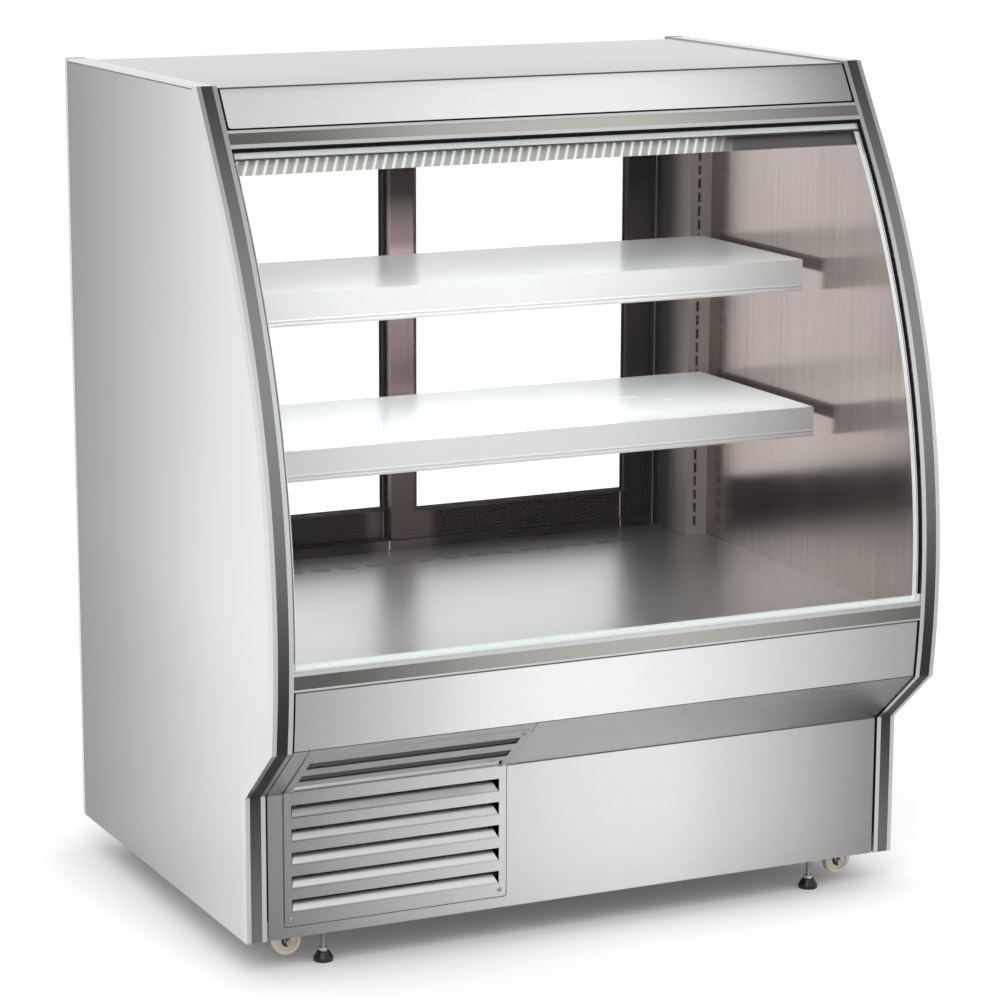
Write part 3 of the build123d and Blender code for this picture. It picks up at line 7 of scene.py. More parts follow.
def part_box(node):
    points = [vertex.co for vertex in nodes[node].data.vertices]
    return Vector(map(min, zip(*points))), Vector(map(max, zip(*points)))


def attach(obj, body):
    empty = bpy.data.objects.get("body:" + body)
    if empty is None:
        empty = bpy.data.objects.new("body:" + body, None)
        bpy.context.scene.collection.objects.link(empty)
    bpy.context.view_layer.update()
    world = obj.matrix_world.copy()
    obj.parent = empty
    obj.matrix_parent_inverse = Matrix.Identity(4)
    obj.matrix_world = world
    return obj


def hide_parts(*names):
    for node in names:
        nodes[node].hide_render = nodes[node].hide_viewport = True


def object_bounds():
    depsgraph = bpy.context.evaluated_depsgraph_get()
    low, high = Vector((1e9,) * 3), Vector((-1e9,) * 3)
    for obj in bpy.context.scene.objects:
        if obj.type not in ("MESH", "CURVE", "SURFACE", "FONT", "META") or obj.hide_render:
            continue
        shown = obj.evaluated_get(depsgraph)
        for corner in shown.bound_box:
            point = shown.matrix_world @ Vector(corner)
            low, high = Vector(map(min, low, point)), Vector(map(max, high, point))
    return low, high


# The case faces -Y, X runs from left to right and Z is up, all in metres.
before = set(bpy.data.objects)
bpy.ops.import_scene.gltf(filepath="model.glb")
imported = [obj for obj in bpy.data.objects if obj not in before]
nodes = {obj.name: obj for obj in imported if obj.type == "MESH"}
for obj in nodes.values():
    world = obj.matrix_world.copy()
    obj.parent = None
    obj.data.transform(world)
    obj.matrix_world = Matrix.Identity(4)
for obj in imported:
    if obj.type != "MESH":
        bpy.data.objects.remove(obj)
cad_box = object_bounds()
bpy.ops.object.select_all(action="DESELECT")

corners = ("front_left", "front_right", "rear_left", "rear_right")

# Places on the case, read from the CAD
case_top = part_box("top_panel")[1].z
case_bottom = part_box("kick_panel")[0].z
side_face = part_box("end_trims")[1].x
header_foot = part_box("header_panel")[0].z
header_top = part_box("header_panel")[1].z
front_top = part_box("front_panel")[1].z
kick_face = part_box("kick_panel")[0].y
bend_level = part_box("kick_panel")[1].z
grille_low, grille_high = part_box("grille")
glass_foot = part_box("glass_seals")[0].z
glass_edge_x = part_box("glass_outer_pane")[1].x
canopy_lip_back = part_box("canopy_panel")[0].y + 0.040
stile_fronts = [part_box(node)[0].y for node in ("rear_frame", "left_door_frame", "right_door_frame")]

# Places within single parts, the same as in the CAD
spacer_end_x = 0.5675
spacer_head_z = 1.3168
insert_end_x = 0.5740
knee_place = Vector((0.0, -0.459507, case_bottom + 0.347))
down_slope = Vector((0.0, 0.75698, -0.65343))
slope_outward = Vector((0.0, -0.65343, -0.75698))

# Drawn joints, painted highlight edges and pale stile edge lines
joint_depth = 0.0026
joint_soft = 0.0006
kick_joint_depth = 0.0030
kick_joint_soft = 0.0008
outline_near = 0.0004
outline_far = 0.0020
painted_edge_depth = 0.0004
painted_edge_soft = 0.0003
stile_edges = (-0.0290, 0.4515, 0.5195)
stile_edge_width = 0.0018
meeting_reach = 0.05

# Painted streaks of lamp light, glowing on the lip of the canopy
streak_pitch = 0.0172
streak_slant = 0.55
streak_fade = 0.275
streak_end = 0.335

# Wheels, feet, guard, glass and light
pad_top = 0.0170
stem_start = 0.0060
thread_pitch = 0.00125
hub_radius = 0.0102
fin_ridge_pitch = 0.0062
pane_ior = 1.12
lamp_strength = 12.0
world_strength = 0.95
# The floor is lifted less near the case, which paints a shadow round it.
floor_lift_near = 0.085
floor_lift_far = 0.22
floor_lift_reach = 0.12

# Grain of the brushed sheets, in streaks per metre along X, Y and Z
vertical_grain = (420.0, 420.0, 3.0)
level_grain = (3.0, 420.0, 420.0)
extrusion_grain = (3.0, 900.0, 900.0)
upright_grain = (900.0, 900.0, 3.0)

# Camera
camera_place = Vector((-2.5574, -5.3261, 1.9005))
camera_yaw = math.radians(24.366)
camera_pitch = math.radians(-13.02)
camera_roll = math.radians(-0.11)
focal_in_widths = 3.465
sensor_mm = 36.0
frame_shift = 0.08


def add_camera():
    """Camera at the photograph's place, turned by yaw, pitch and roll."""
    forward = Vector(
        (
            math.sin(camera_yaw) * math.cos(camera_pitch),
            math.cos(camera_yaw) * math.cos(camera_pitch),
            math.sin(camera_pitch),
        )
    )
    level = Vector((math.cos(camera_yaw), -math.sin(camera_yaw), 0.0))
    upright = level.cross(forward)
    right = math.cos(camera_roll) * level + math.sin(camera_roll) * upright
    up = math.cos(camera_roll) * upright - math.sin(camera_roll) * level
    data = bpy.data.cameras.new("camera")
    data.sensor_width = sensor_mm
    data.lens = focal_in_widths * sensor_mm
    data.shift_x = frame_shift
    data.shift_y = frame_shift
    data.clip_end = 100.0
    camera = bpy.data.objects.new("camera", data)
    turn = Matrix((right, up, -forward)).transposed().to_4x4()
    camera.matrix_world = Matrix.Translation(camera_place) @ turn
    bpy.context.scene.collection.objects.link(camera)
    bpy.context.scene.camera = camera


def add_area_light(name, place, target, size, power):
    """Soft rectangular lamp aimed at a point."""
    data = bpy.data.lights.new(name, "AREA")
    data.shape = "RECTANGLE"
    data.size, data.size_y = size
    data.energy = power
    lamp = bpy.data.objects.new(name, data)
    lamp.location = place
    aim = Vector(target) - Vector(place)
    lamp.rotation_euler = aim.to_track_quat("-Z", "Y").to_euler()
    bpy.context.scene.collection.objects.link(lamp)


# Shader graph helpers
def grey(level):
    """Neutral colour of one brightness."""
    return (level, level, level)


def place_node(tree, kind, **settings):
    """New shader node with some of its properties set."""
    node = tree.nodes.new(kind)
    for key, value in settings.items():
        setattr(node, key, value)
    return node


def wire(tree, source, target):
    """Link from an output socket to an input socket."""
    tree.links.new(source, target)


def new_group(name, inputs, outputs):
    """Empty node group with named sockets, and its input and output nodes."""
    tree = bpy.data.node_groups.new(name, "ShaderNodeTree")
    for label, kind, value in inputs:
        socket = tree.interface.new_socket(label, in_out="INPUT", socket_type=kind)
        socket.default_value = value
    for label, kind in outputs:
        tree.interface.new_socket(label, in_out="OUTPUT", socket_type=kind)
    return tree, tree.nodes.new("NodeGroupInput"), tree.nodes.new("NodeGroupOutput")


def math_node(tree, operation, first, second=0.0):
    """Math node fed by sockets or numbers, giving its output socket."""
    node = place_node(tree, "ShaderNodeMath", operation=operation)
    for index, value in enumerate((first, second)):
        if isinstance(value, (int, float)):
            node.inputs[index].default_value = value
        else:
            wire(tree, value, node.inputs[index])
    return node.outputs[0]


def largest(tree, *values):
    """Largest of several sockets."""
    result = values[0]
    for value in values[1:]:
        result = math_node(tree, "MAXIMUM", result, value)
    return result


def range_node(tree, value, low, high, to_low=0.0, to_high=1.0):
    """Value mapped from one range to another and clamped."""
    node = place_node(tree, "ShaderNodeMapRange")
    wire(tree, value, node.inputs["Value"])
    node.inputs["From Min"].default_value = low
    node.inputs["From Max"].default_value = high
    node.inputs["To Min"].default_value = to_low
    node.inputs["To Max"].default_value = to_high
    return node.outputs["Result"]


def spread(tree, noise, to_low=0.0, to_high=1.0):
    """Noise, which stays near a half, spread over a whole range."""
    return range_node(tree, noise, 0.3, 0.7, to_low, to_high)


def edge_mask(tree, position, edge, depth, soft):
    """One from a little before an edge, nought before that."""
    return range_node(tree, position, edge - depth, edge - depth + soft)


def band_mask(tree, position, low, high, soft=0.0002):
    """One between two places along an axis, nought outside them."""
    rise = range_node(tree, position, low - soft, low)
    fall = range_node(tree, position, high, high + soft, 1.0, 0.0)
    return math_node(tree, "MULTIPLY", rise, fall)


def mix_colours(tree, amount, first, second):
    """Mix of two colours or colour sockets by a socket or number."""
    node = place_node(tree, "ShaderNodeMix", data_type="RGBA")
    for socket, value in ((node.inputs[0], amount), (node.inputs[6], first), (node.inputs[7], second)):
        if isinstance(value, (int, float)):
            socket.default_value = value
        elif isinstance(value, tuple):
            socket.default_value = (*value, 1.0)
        else:
            wire(tree, value, socket)
    return node.outputs[2]


def multiply_colours(tree, first, second):
    """Product of two colour sockets."""
    node = place_node(tree, "ShaderNodeMix", data_type="RGBA", blend_type="MULTIPLY")
    node.inputs[0].default_value = 1.0
    wire(tree, first, node.inputs[6])
    wire(tree, second, node.inputs[7])
    return node.outputs[2]


def axes(tree):
    """X, Y and Z of the object coordinates."""
    parts = place_node(tree, "ShaderNodeSeparateXYZ")
    wire(tree, place_node(tree, "ShaderNodeTexCoord").outputs["Object"], parts.inputs[0])
    return parts.outputs[0], parts.outputs[1], parts.outputs[2]


def painted_light_along(tree, position, stops):
    """Grey that runs smoothly through stops of (metres, brightness) along one axis, used as painted light
    and shade.
    """
    start = stops[0][0]
    length = stops[-1][0] - start
    ramp = place_node(tree, "ShaderNodeValToRGB")
    ramp.color_ramp.interpolation = "B_SPLINE"
    elements = ramp.color_ramp.elements
    while len(elements) < len(stops):
        elements.new(0.5)
    for element, (place, level) in zip(elements, stops):
        element.position = (place - start) / length
        element.color = (level, level, level, 1.0)
    wire(tree, range_node(tree, position, start, start + length), ramp.inputs[0])
    return ramp.outputs[0]


def apply_painted_light(tree, colour, painted_light_tones):
    """Colour multiplied by painted light and shade along each named axis."""
    for axis, stops in painted_light_tones:
        position = axes(tree)["XYZ".index(axis)]
        colour = multiply_colours(tree, colour, painted_light_along(tree, position, stops))
    return colour


def make_brushing():
    """Group of fine streaks stretched by its scale, and a soft cloud, both from 0 to 1."""
    tree, start, end = new_group(
        "brushing",
        (
            ("Streak Scale", "NodeSocketVector", (1.0, 1.0, 1.0)),
            ("Cloud Scale", "NodeSocketFloat", 2.0),
        ),
        (("Streak", "NodeSocketFloat"), ("Cloud", "NodeSocketFloat")),
    )
    coordinates = place_node(tree, "ShaderNodeTexCoord").outputs["Object"]
    stretch = place_node(tree, "ShaderNodeVectorMath", operation="MULTIPLY")
    wire(tree, coordinates, stretch.inputs[0])
    wire(tree, start.outputs["Streak Scale"], stretch.inputs[1])
    streak = place_node(tree, "ShaderNodeTexNoise")
    streak.inputs["Scale"].default_value = 1.0
    streak.inputs["Detail"].default_value = 6.0
    streak.inputs["Roughness"].default_value = 0.65
    wire(tree, stretch.outputs[0], streak.inputs["Vector"])
    cloud = place_node(tree, "ShaderNodeTexNoise")
    cloud.inputs["Detail"].default_value = 2.0
    wire(tree, coordinates, cloud.inputs["Vector"])
    wire(tree, start.outputs["Cloud Scale"], cloud.inputs["Scale"])
    wire(tree, streak.outputs["Fac"], end.inputs["Streak"])
    wire(tree, cloud.outputs["Fac"], end.inputs["Cloud"])
    return tree


brushing = make_brushing()


def add_brushing(tree, scale, cloud_scale=2.0):
    """Brushing group placed in a material, giving its streak and cloud sockets."""
    node = place_node(tree, "ShaderNodeGroup", node_tree=brushing)
    node.inputs["Streak Scale"].default_value = scale
    node.inputs["Cloud Scale"].default_value = cloud_scale
    return node.outputs["Streak"], node.outputs["Cloud"]


def soft_cloud(tree, scale):
    """Slow change from 0 to 1, without streaks."""
    return add_brushing(tree, (1.0, 1.0, 1.0), scale)[1]


def add_bump(tree, shader, height, depth, strength=0.4):
    """Bump from a height socket, in metres."""
    bump = place_node(tree, "ShaderNodeBump")
    bump.inputs["Strength"].default_value = strength
    bump.inputs["Distance"].default_value = depth
    wire(tree, height, bump.inputs["Height"])
    wire(tree, bump.outputs["Normal"], shader.inputs["Normal"])


def new_material(name):
    """Material with a Principled shader wired to its output."""
    material = bpy.data.materials.new(name)
    material.use_nodes = True
    tree = material.node_tree
    tree.nodes.clear()
    output = tree.nodes.new("ShaderNodeOutputMaterial")
    shader = tree.nodes.new("ShaderNodeBsdfPrincipled")
    wire(tree, shader.outputs["BSDF"], output.inputs["Surface"])
    return material, tree, shader


def assign(material, *names):
    """Gives CAD nodes a material."""
    for name in names:
        obj = nodes[name]
        obj.data.materials.clear()
        obj.data.materials.append(material)


def brushed_metal(
    name, dark, light, roughness, scale, cloud=0.5, anisotropic=0.0, bump=0.00002, painted_light_tones=(), marks_and_painted_light=None
):
    """Metal with brushed grain, slow changes of tone, painted light and shade along its axes, drawn joints
    and painted highlights, and uneven gloss.
    """
    material, tree, shader = new_material(name)
    streak, drift = add_brushing(tree, scale)
    fine = math_node(tree, "MULTIPLY", spread(tree, streak), 1.0 - cloud)
    slow = math_node(tree, "MULTIPLY", spread(tree, drift), cloud)
    colour = mix_colours(tree, math_node(tree, "ADD", fine, slow), dark, light)
    colour = apply_painted_light(tree, colour, painted_light_tones)
    if marks_and_painted_light:
        colour = marks_and_painted_light(tree, colour)
    wire(tree, colour, shader.inputs["Base Color"])
    wire(tree, spread(tree, streak, roughness * 0.85, roughness * 1.2), shader.inputs["Roughness"])
    shader.inputs["Metallic"].default_value = 1.0
    shader.inputs["Anisotropic"].default_value = anisotropic
    if bump:
        add_bump(tree, shader, streak, bump)
    return material


# Marks on the sheets and extrusions: dark joints, and painted highlights and shade
def skin_joint_and_highlight(tree, colour):
    """Painted highlight along the top edge of an end skin, under a thin dark joint."""
    z = axes(tree)[2]
    joint = band_mask(tree, z, case_top - 0.0032, case_top - 0.0012)
    edge = edge_mask(tree, z, case_top, 0.0010, 0.0004)
    return mix_colours(tree, edge, mix_colours(tree, joint, colour, grey(0.22)), (0.95, 0.95, 0.945))


def header_seam(tree, colour):
    """Dark joint along the top of the header."""
    line = edge_mask(tree, axes(tree)[2], header_top, joint_depth, joint_soft)
    return mix_colours(tree, line, colour, grey(0.10))


def front_seam(tree, colour):
    """Dark joint along the top of the front panel."""
    line = edge_mask(tree, axes(tree)[2], front_top, joint_depth, joint_soft)
    return mix_colours(tree, line, colour, grey(0.12))


def grille_sides(tree, x):
    """Thin lines just outside both ends of the grille."""
    left = band_mask(tree, x, grille_low.x - outline_far, grille_low.x - outline_near)
    right = band_mask(tree, x, grille_high.x + outline_near, grille_high.x + outline_far)
    return largest(tree, left, right)


def kick_seams(tree, colour):
    """Dark joint along the top of the kick panel and round the foot of the grille."""
    x, _, z = axes(tree)
    above_foot = range_node(tree, z, grille_low.z - outline_far, grille_low.z)
    sides = math_node(tree, "MULTIPLY", grille_sides(tree, x), above_foot)
    foot_line = band_mask(tree, z, grille_low.z - outline_far, grille_low.z - outline_near)
    foot = math_node(tree, "MULTIPLY", foot_line, band_mask(tree, x, grille_low.x, grille_high.x))
    top = edge_mask(tree, z, bend_level, kick_joint_depth, kick_joint_soft)
    return mix_colours(tree, largest(tree, sides, foot, top), colour, grey(0.11))


def underside_seams(tree, colour):
    """Dark joints beside the sloping part of the grille."""
    return mix_colours(tree, grille_sides(tree, axes(tree)[0]), colour, grey(0.09))


def grille_faces(tree, colour):
    """Painted light: pressed blades painted paler than the flat lands round them, as if lit from above, and
    the sloping part painted a duller grey as shade.
    """
    x, y, z = axes(tree)
    blade_painted_light = painted_light_along(tree, x, ((-0.57, 0.74), (-0.35, 0.84), (-0.14, 0.84)))
    pressed = range_node(tree, y, kick_face + 0.0006, kick_face + 0.0014)
    slope_painted_shade = range_node(tree, z, bend_level - 0.002, bend_level + 0.002)
    return mix_colours(tree, slope_painted_shade, mix_colours(tree, pressed, colour, blade_painted_light), (0.58, 0.58, 0.57))


def trim_highlight(tree, colour):
    """Painted highlight along the outer faces of the end trims."""
    across = math_node(tree, "ABSOLUTE", axes(tree)[0])
    outer = edge_mask(tree, across, side_face, painted_edge_depth, painted_edge_soft)
    return mix_colours(tree, outer, colour, grey(0.84))


def door_stiles(tree, colour):
    """Bronze with painted light and shade: the meeting stiles paler below a painted dark head, the other
    stiles painted mostly near black, and paler lines along their front edges.
    """
    x, y, z = axes(tree)
    across = math_node(tree, "ABSOLUTE", x)
    meeting = range_node(tree, across, meeting_reach, meeting_reach + 0.02, 1.0, 0.20)
    painted_light_by_height = (
        (0.45, 0.16),
        (0.60, 0.24),
        (0.80, 0.55),
        (1.09, 1.0),
        (1.13, 0.60),
        (1.17, 0.02),
        (1.40, 0.0),
    )
    lit = multiply_colours(tree, colour, painted_light_along(tree, z, painted_light_by_height))
    stile = mix_colours(tree, meeting, (0.006, 0.005, 0.005), lit)
    edges = [band_mask(tree, x, edge, edge + stile_edge_width) for edge in stile_edges]
    faces = [band_mask(tree, y, front - 0.001, front + 0.001) for front in stile_fronts]
    pale_edge_lines = math_node(tree, "MULTIPLY", largest(tree, *edges), largest(tree, *faces))
    return mix_colours(tree, pale_edge_lines, stile, (0.52, 0.49, 0.46))


# Finishes of the metal parts, most with painted reflections and shade
pale_steel = (0.95, 0.945, 0.94)
bright_steel = (1.0, 0.995, 0.99)


def finish_end_skins():
    """Outer skins of the ends, with a painted reflection: paler toward the front and darker low down."""
    painted_light_by_depth = (
        "Y",
        ((-0.46, 1.0), (-0.30, 0.98), (-0.10, 0.80), (0.12, 0.60), (0.32, 0.44), (0.47, 0.36)),
    )
    painted_light_by_height = ("Z", ((0.06, 0.86), (0.42, 0.88), (0.62, 1.0), (1.43, 1.0)))
    skin = brushed_metal(
        "brushed_skin",
        grey(0.93),
        (1.0, 1.0, 0.995),
        0.34,
        vertical_grain,
        painted_light_tones=(painted_light_by_depth, painted_light_by_height),
        marks_and_painted_light=skin_joint_and_highlight,
    )
    assign(skin, "end_skin_left", "end_skin_right")


def finish_top():
    """Top sheet, with a painted reflection that is paler toward the rear."""
    tone = ("Y", ((-0.20, 0.86), (0.0, 0.96), (0.25, 1.10)))
    sheet = brushed_metal("brushed_top", grey(0.76), (0.86, 0.86, 0.855), 0.34, level_grain, painted_light_tones=(tone,))
    assign(sheet, "top_panel")


def finish_front_sheets():
    """Sheets and grille of the front, with painted reflections that are brightest near the middle and
    painted shade toward both ends; the header is painted darker toward its top.
    """
    header_painted_reflection = (
        "X",
        ((-0.57, 0.65), (-0.28, 0.89), (-0.04, 1.0), (0.19, 1.0), (0.38, 0.76), (0.57, 0.22)),
    )
    header_painted_shade = ("Z", ((header_foot, 1.0), (header_foot + 0.05, 1.0), (header_top, 0.74)))
    front_painted_reflection = (
        "X",
        (
            (-0.57, 0.34),
            (-0.34, 0.72),
            (-0.20, 0.95),
            (-0.04, 1.0),
            (0.18, 0.87),
            (0.40, 0.58),
            (0.57, 0.36),
        ),
    )
    under_painted_reflection = (
        "X",
        ((-0.57, 0.60), (-0.10, 0.63), (0.10, 0.62), (0.30, 0.60), (0.42, 0.36), (0.57, 0.14)),
    )
    kick_painted_reflection = (
        "X",
        (
            (-0.57, 0.24),
            (-0.40, 0.45),
            (-0.20, 0.68),
            (-0.05, 0.84),
            (0.16, 0.89),
            (0.27, 0.72),
            (0.42, 0.54),
            (0.57, 0.26),
        ),
    )
    for name, painted_light_tones, marks_and_painted_light in (
        ("header_panel", (header_painted_reflection, header_painted_shade), header_seam),
        ("front_panel", (front_painted_reflection,), front_seam),
        ("underside_panel", (under_painted_reflection,), underside_seams),
        ("kick_panel", (kick_painted_reflection,), kick_seams),
        ("grille", (kick_painted_reflection,), grille_faces),
    ):
        sheet = brushed_metal(
            f"brushed_{name}", pale_steel, bright_steel, 0.30, level_grain, painted_light_tones=painted_light_tones, marks_and_painted_light=marks_and_painted_light
        )
        assign(sheet, name)


def finish_inside():
    """Polished liners, whose warm colour is a painted reflection of warm light, and the brushed deck."""
    liner = brushed_metal(
        "polished_liner", (0.38, 0.315, 0.29), (0.54, 0.47, 0.44), 0.19, (90.0, 90.0, 2.0), anisotropic=0.6
    )
    assign(liner, "end_liners", "well_liner", "evaporator_fan_plate")
    deck = brushed_metal("brushed_deck", grey(0.72), grey(0.80), 0.32, level_grain)
    assign(deck, "deck_pan")


def finish_extrusions():
    """End trims and level rails of drawn aluminium, with painted reflections along them and a painted
    highlight on the trims' outer faces.
    """
    trim_painted_reflection = (
        "Z",
        (
            (0.06, 0.74),
            (0.30, 0.64),
            (0.50, 0.54),
            (0.70, 0.88),
            (0.92, 1.0),
            (1.17, 0.68),
            (1.42, 0.34),
        ),
    )
    trim = brushed_metal(
        "trim_aluminium",
        grey(0.80),
        grey(0.84),
        0.26,
        upright_grain,
        bump=0.0,
        painted_light_tones=(trim_painted_reflection,),
        marks_and_painted_light=trim_highlight,
    )
    assign(trim, "end_trims")
    rail_painted_reflection = ("X", ((-0.57, 0.50), (0.0, 0.74), (0.30, 0.64), (0.57, 0.40)))
    rail = brushed_metal(
        "rail_aluminium", pale_steel, bright_steel, 0.26, extrusion_grain, bump=0.0, painted_light_tones=(rail_painted_reflection,)
    )
    assign(rail, "cross_rails")


def finish_rear_frames():
    """Bronze frames of the rear doors, with painted light and shade on the stiles."""
    bronze = brushed_metal(
        "bronze_frame",
        (0.28, 0.215, 0.205),
        (0.40, 0.31, 0.30),
        0.32,
        vertical_grain,
        cloud=0.3,
        marks_and_painted_light=door_stiles,
    )
    assign(bronze, "rear_frame", "left_door_frame", "right_door_frame")


def finish_hardware():
    """Zinc casters, aluminium coils and copper lines; gives the metals of the coils and lines."""
    zinc = brushed_metal("zinc_plate", (0.42, 0.42, 0.41), (0.60, 0.60, 0.58), 0.35, (60.0, 60.0, 60.0))
    assign(zinc, "caster_plates", *[name for name in nodes if name.startswith("caster_fork")])
    fins = brushed_metal("coil_fins", grey(0.60), (0.84, 0.84, 0.85), 0.40, (40.0, 40.0, 40.0))
    assign(fins, "evaporator_coil", "condenser_coil")
    copper = brushed_metal("copper_line", (0.60, 0.30, 0.18), (0.80, 0.46, 0.30), 0.25, (30.0, 30.0, 30.0))
    assign(copper, "refrigerant_lines")
    return fins, copper


# Paints, plastics and rubber
def coated(name, dark, light, roughness, coat=0.0, painted_light_tones=()):
    """Paint, rubber or plastic with a fine orange peel, a slow change of tone and any painted light and
    shade along its axes.
    """
    material, tree, shader = new_material(name)
    peel, drift = add_brushing(tree, (480.0, 480.0, 480.0), 5.0)
    colour = apply_painted_light(tree, mix_colours(tree, spread(tree, drift), dark, light), painted_light_tones)
    wire(tree, colour, shader.inputs["Base Color"])
    wire(tree, spread(tree, drift, roughness * 0.85, roughness * 1.15), shader.inputs["Roughness"])
    shader.inputs["Coat Weight"].default_value = coat
    add_bump(tree, shader, peel, 0.00003)
    return material


def finish_coated_parts():
    """Enamel, paint and plastic on the CAD parts; the trays get painted shade toward the right and painted
    light on the upper shelf, the posts painted shade toward the rear.
    """
    fascia_painted_shade = ("X", ((-0.56, 0.94), (-0.20, 1.0), (0.12, 0.96), (0.32, 0.84), (0.56, 0.50)))
    shelf_painted_light = ("Z", ((0.70, 0.86), (0.90, 0.86), (1.00, 1.0), (1.10, 1.0)))
    post_painted_shade = ("Y", ((0.28, 1.0), (0.31, 0.90), (0.34, 0.40), (0.36, 0.12), (0.40, 0.08)))
    tray_dark = (0.93, 0.93, 0.925)
    tray_light = (0.97, 0.97, 0.965)
    post_dark = (0.25, 0.215, 0.19)
    post_light = (0.31, 0.265, 0.235)
    trays = ("lower_shelf_tray", "upper_shelf_tray")
    evaporator_fans = ("evaporator_fan_left", "evaporator_fan_right")
    for name, dark, light, roughness, coat, painted_light_tones, parts in (
        ("tray_enamel", tray_dark, tray_light, 0.30, 0.0, (fascia_painted_shade, shelf_painted_light), trays),
        ("post_enamel", post_dark, post_light, 0.35, 0.0, (post_painted_shade,), ("corner_posts", "shelf_brackets")),
        ("black_frame_paint", grey(0.02), grey(0.035), 0.45, 0.0, (), ("base_frame", "condenser_shroud")),
        ("compressor_paint", grey(0.012), grey(0.02), 0.22, 0.4, (), ("compressor",)),
        ("fan_plastic", grey(0.02), grey(0.03), 0.45, 0.0, (), evaporator_fans),
        ("fan_plastic_grey", grey(0.06), grey(0.09), 0.45, 0.0, (), ("condenser_fan",)),
        ("tray_plastic", grey(0.04), grey(0.06), 0.5, 0.0, (), ("drain_pan",)),
        ("control_plastic", grey(0.03), grey(0.045), 0.4, 0.0, (), ("control_box",)),
        ("switch_plastic", (0.02, 0.12, 0.035), (0.03, 0.16, 0.05), 0.25, 0.0, (), ("light_switch",)),
        ("rear_enamel", grey(0.34), grey(0.40), 0.4, 0.0, (), ("rear_vent_panel",)),
    ):
        assign(coated(name, dark, light, roughness, coat, painted_light_tones), *parts)


# Materials with a pattern of their own, some of it painted light
def spacer_material():
    """Pale spacer bars with a dark inner line along the head and up both ends."""
    material, tree, shader = new_material("glass_spacer_bars")
    x, _, z = axes(tree)
    across = math_node(tree, "ABSOLUTE", x)
    end_line = band_mask(tree, across, spacer_end_x + 0.0014, spacer_end_x + 0.0022)
    head_line = band_mask(tree, z, spacer_head_z - 0.0040, spacer_head_z)
    streak, drift = add_brushing(tree, extrusion_grain, 6.0)
    pale = mix_colours(tree, drift, (0.84, 0.91, 0.88), (0.92, 0.97, 0.95))
    dark = mix_colours(tree, streak, (0.060, 0.056, 0.054), (0.090, 0.084, 0.080))
    colour = mix_colours(tree, largest(tree, end_line, head_line), pale, dark)
    wire(tree, colour, shader.inputs["Base Color"])
    wire(tree, spread(tree, streak, 0.36, 0.46), shader.inputs["Roughness"])
    return material


def seal_material():
    """Black seal along the head and sides of the glass, pale silicone along its foot."""
    material, tree, shader = new_material("glass_seal")
    drift = soft_cloud(tree, 20.0)
    black = mix_colours(tree, drift, grey(0.004), grey(0.008))
    pale = mix_colours(tree, drift, (0.84, 0.87, 0.86), (0.92, 0.94, 0.93))
    foot = range_node(tree, axes(tree)[2], glass_foot + 0.012, glass_foot + 0.014, 1.0, 0.0)
    wire(tree, mix_colours(tree, foot, black, pale), shader.inputs["Base Color"])
    wire(tree, spread(tree, drift, 0.55, 0.70), shader.inputs["Roughness"])
    shader.inputs["Specular IOR Level"].default_value = 0.12
    return material


def core_material():
    """Black core skin, with a finned grey guard behind the grille."""
    material, tree, shader = new_material("core_skin")
    x, y, z = axes(tree)
    low = band_mask(tree, z, bend_level - 0.04, bend_level + 0.10)
    forward = range_node(tree, y, kick_face - 0.03, kick_face - 0.02, 1.0, 0.0)
    guard = math_node(tree, "MULTIPLY", low, forward)
    ridge = math_node(tree, "PINGPONG", math_node(tree, "DIVIDE", x, fin_ridge_pitch), 0.5)
    fin = range_node(tree, ridge, 0.10, 0.34)
    fins = mix_colours(tree, fin, grey(0.055), (0.115, 0.115, 0.112))
    drift = soft_cloud(tree, 20.0)
    black = mix_colours(tree, drift, grey(0.006), (0.012, 0.012, 0.011))
    wire(tree, mix_colours(tree, guard, black, fins), shader.inputs["Base Color"])
    wire(tree, spread(tree, drift, 0.80, 0.95), shader.inputs["Roughness"])
    shader.inputs["Specular IOR Level"].default_value = 0.1
    return material


def insert_material():
    """Satin strip with painted reflections: painted silvery along the middle of the level rails, and a
    darker painted copy on the end trims that changes with height.
    """
    material, tree, shader = new_material("insert_vinyl")
    across = math_node(tree, "ABSOLUTE", axes(tree)[0])
    side = range_node(tree, across, insert_end_x, insert_end_x + 0.0006)
    streak, drift = add_brushing(tree, (300.0, 300.0, 2.0), 3.0)
    level_painted_reflection = (
        "X",
        ((-0.57, 0.17), (-0.42, 0.28), (-0.24, 0.76), (0.02, 1.0), (0.26, 0.88), (0.57, 0.15)),
    )
    level = mix_colours(tree, streak, (0.43, 0.424, 0.395), (0.50, 0.494, 0.460))
    end_painted_reflection = (
        "Z",
        (
            (0.06, 0.70),
            (0.20, 0.36),
            (0.33, 0.08),
            (0.50, 0.06),
            (0.68, 0.52),
            (0.90, 1.0),
            (1.15, 0.92),
            (1.42, 0.0),
        ),
    )
    end = mix_colours(tree, streak, (0.215, 0.216, 0.214), (0.255, 0.256, 0.254))
    level = apply_painted_light(tree, level, (level_painted_reflection,))
    end = apply_painted_light(tree, end, (end_painted_reflection,))
    wire(tree, mix_colours(tree, side, level, end), shader.inputs["Base Color"])
    wire(tree, spread(tree, drift, 0.38, 0.48), shader.inputs["Roughness"])
    shader.inputs["Specular IOR Level"].default_value = 0.2
    return material


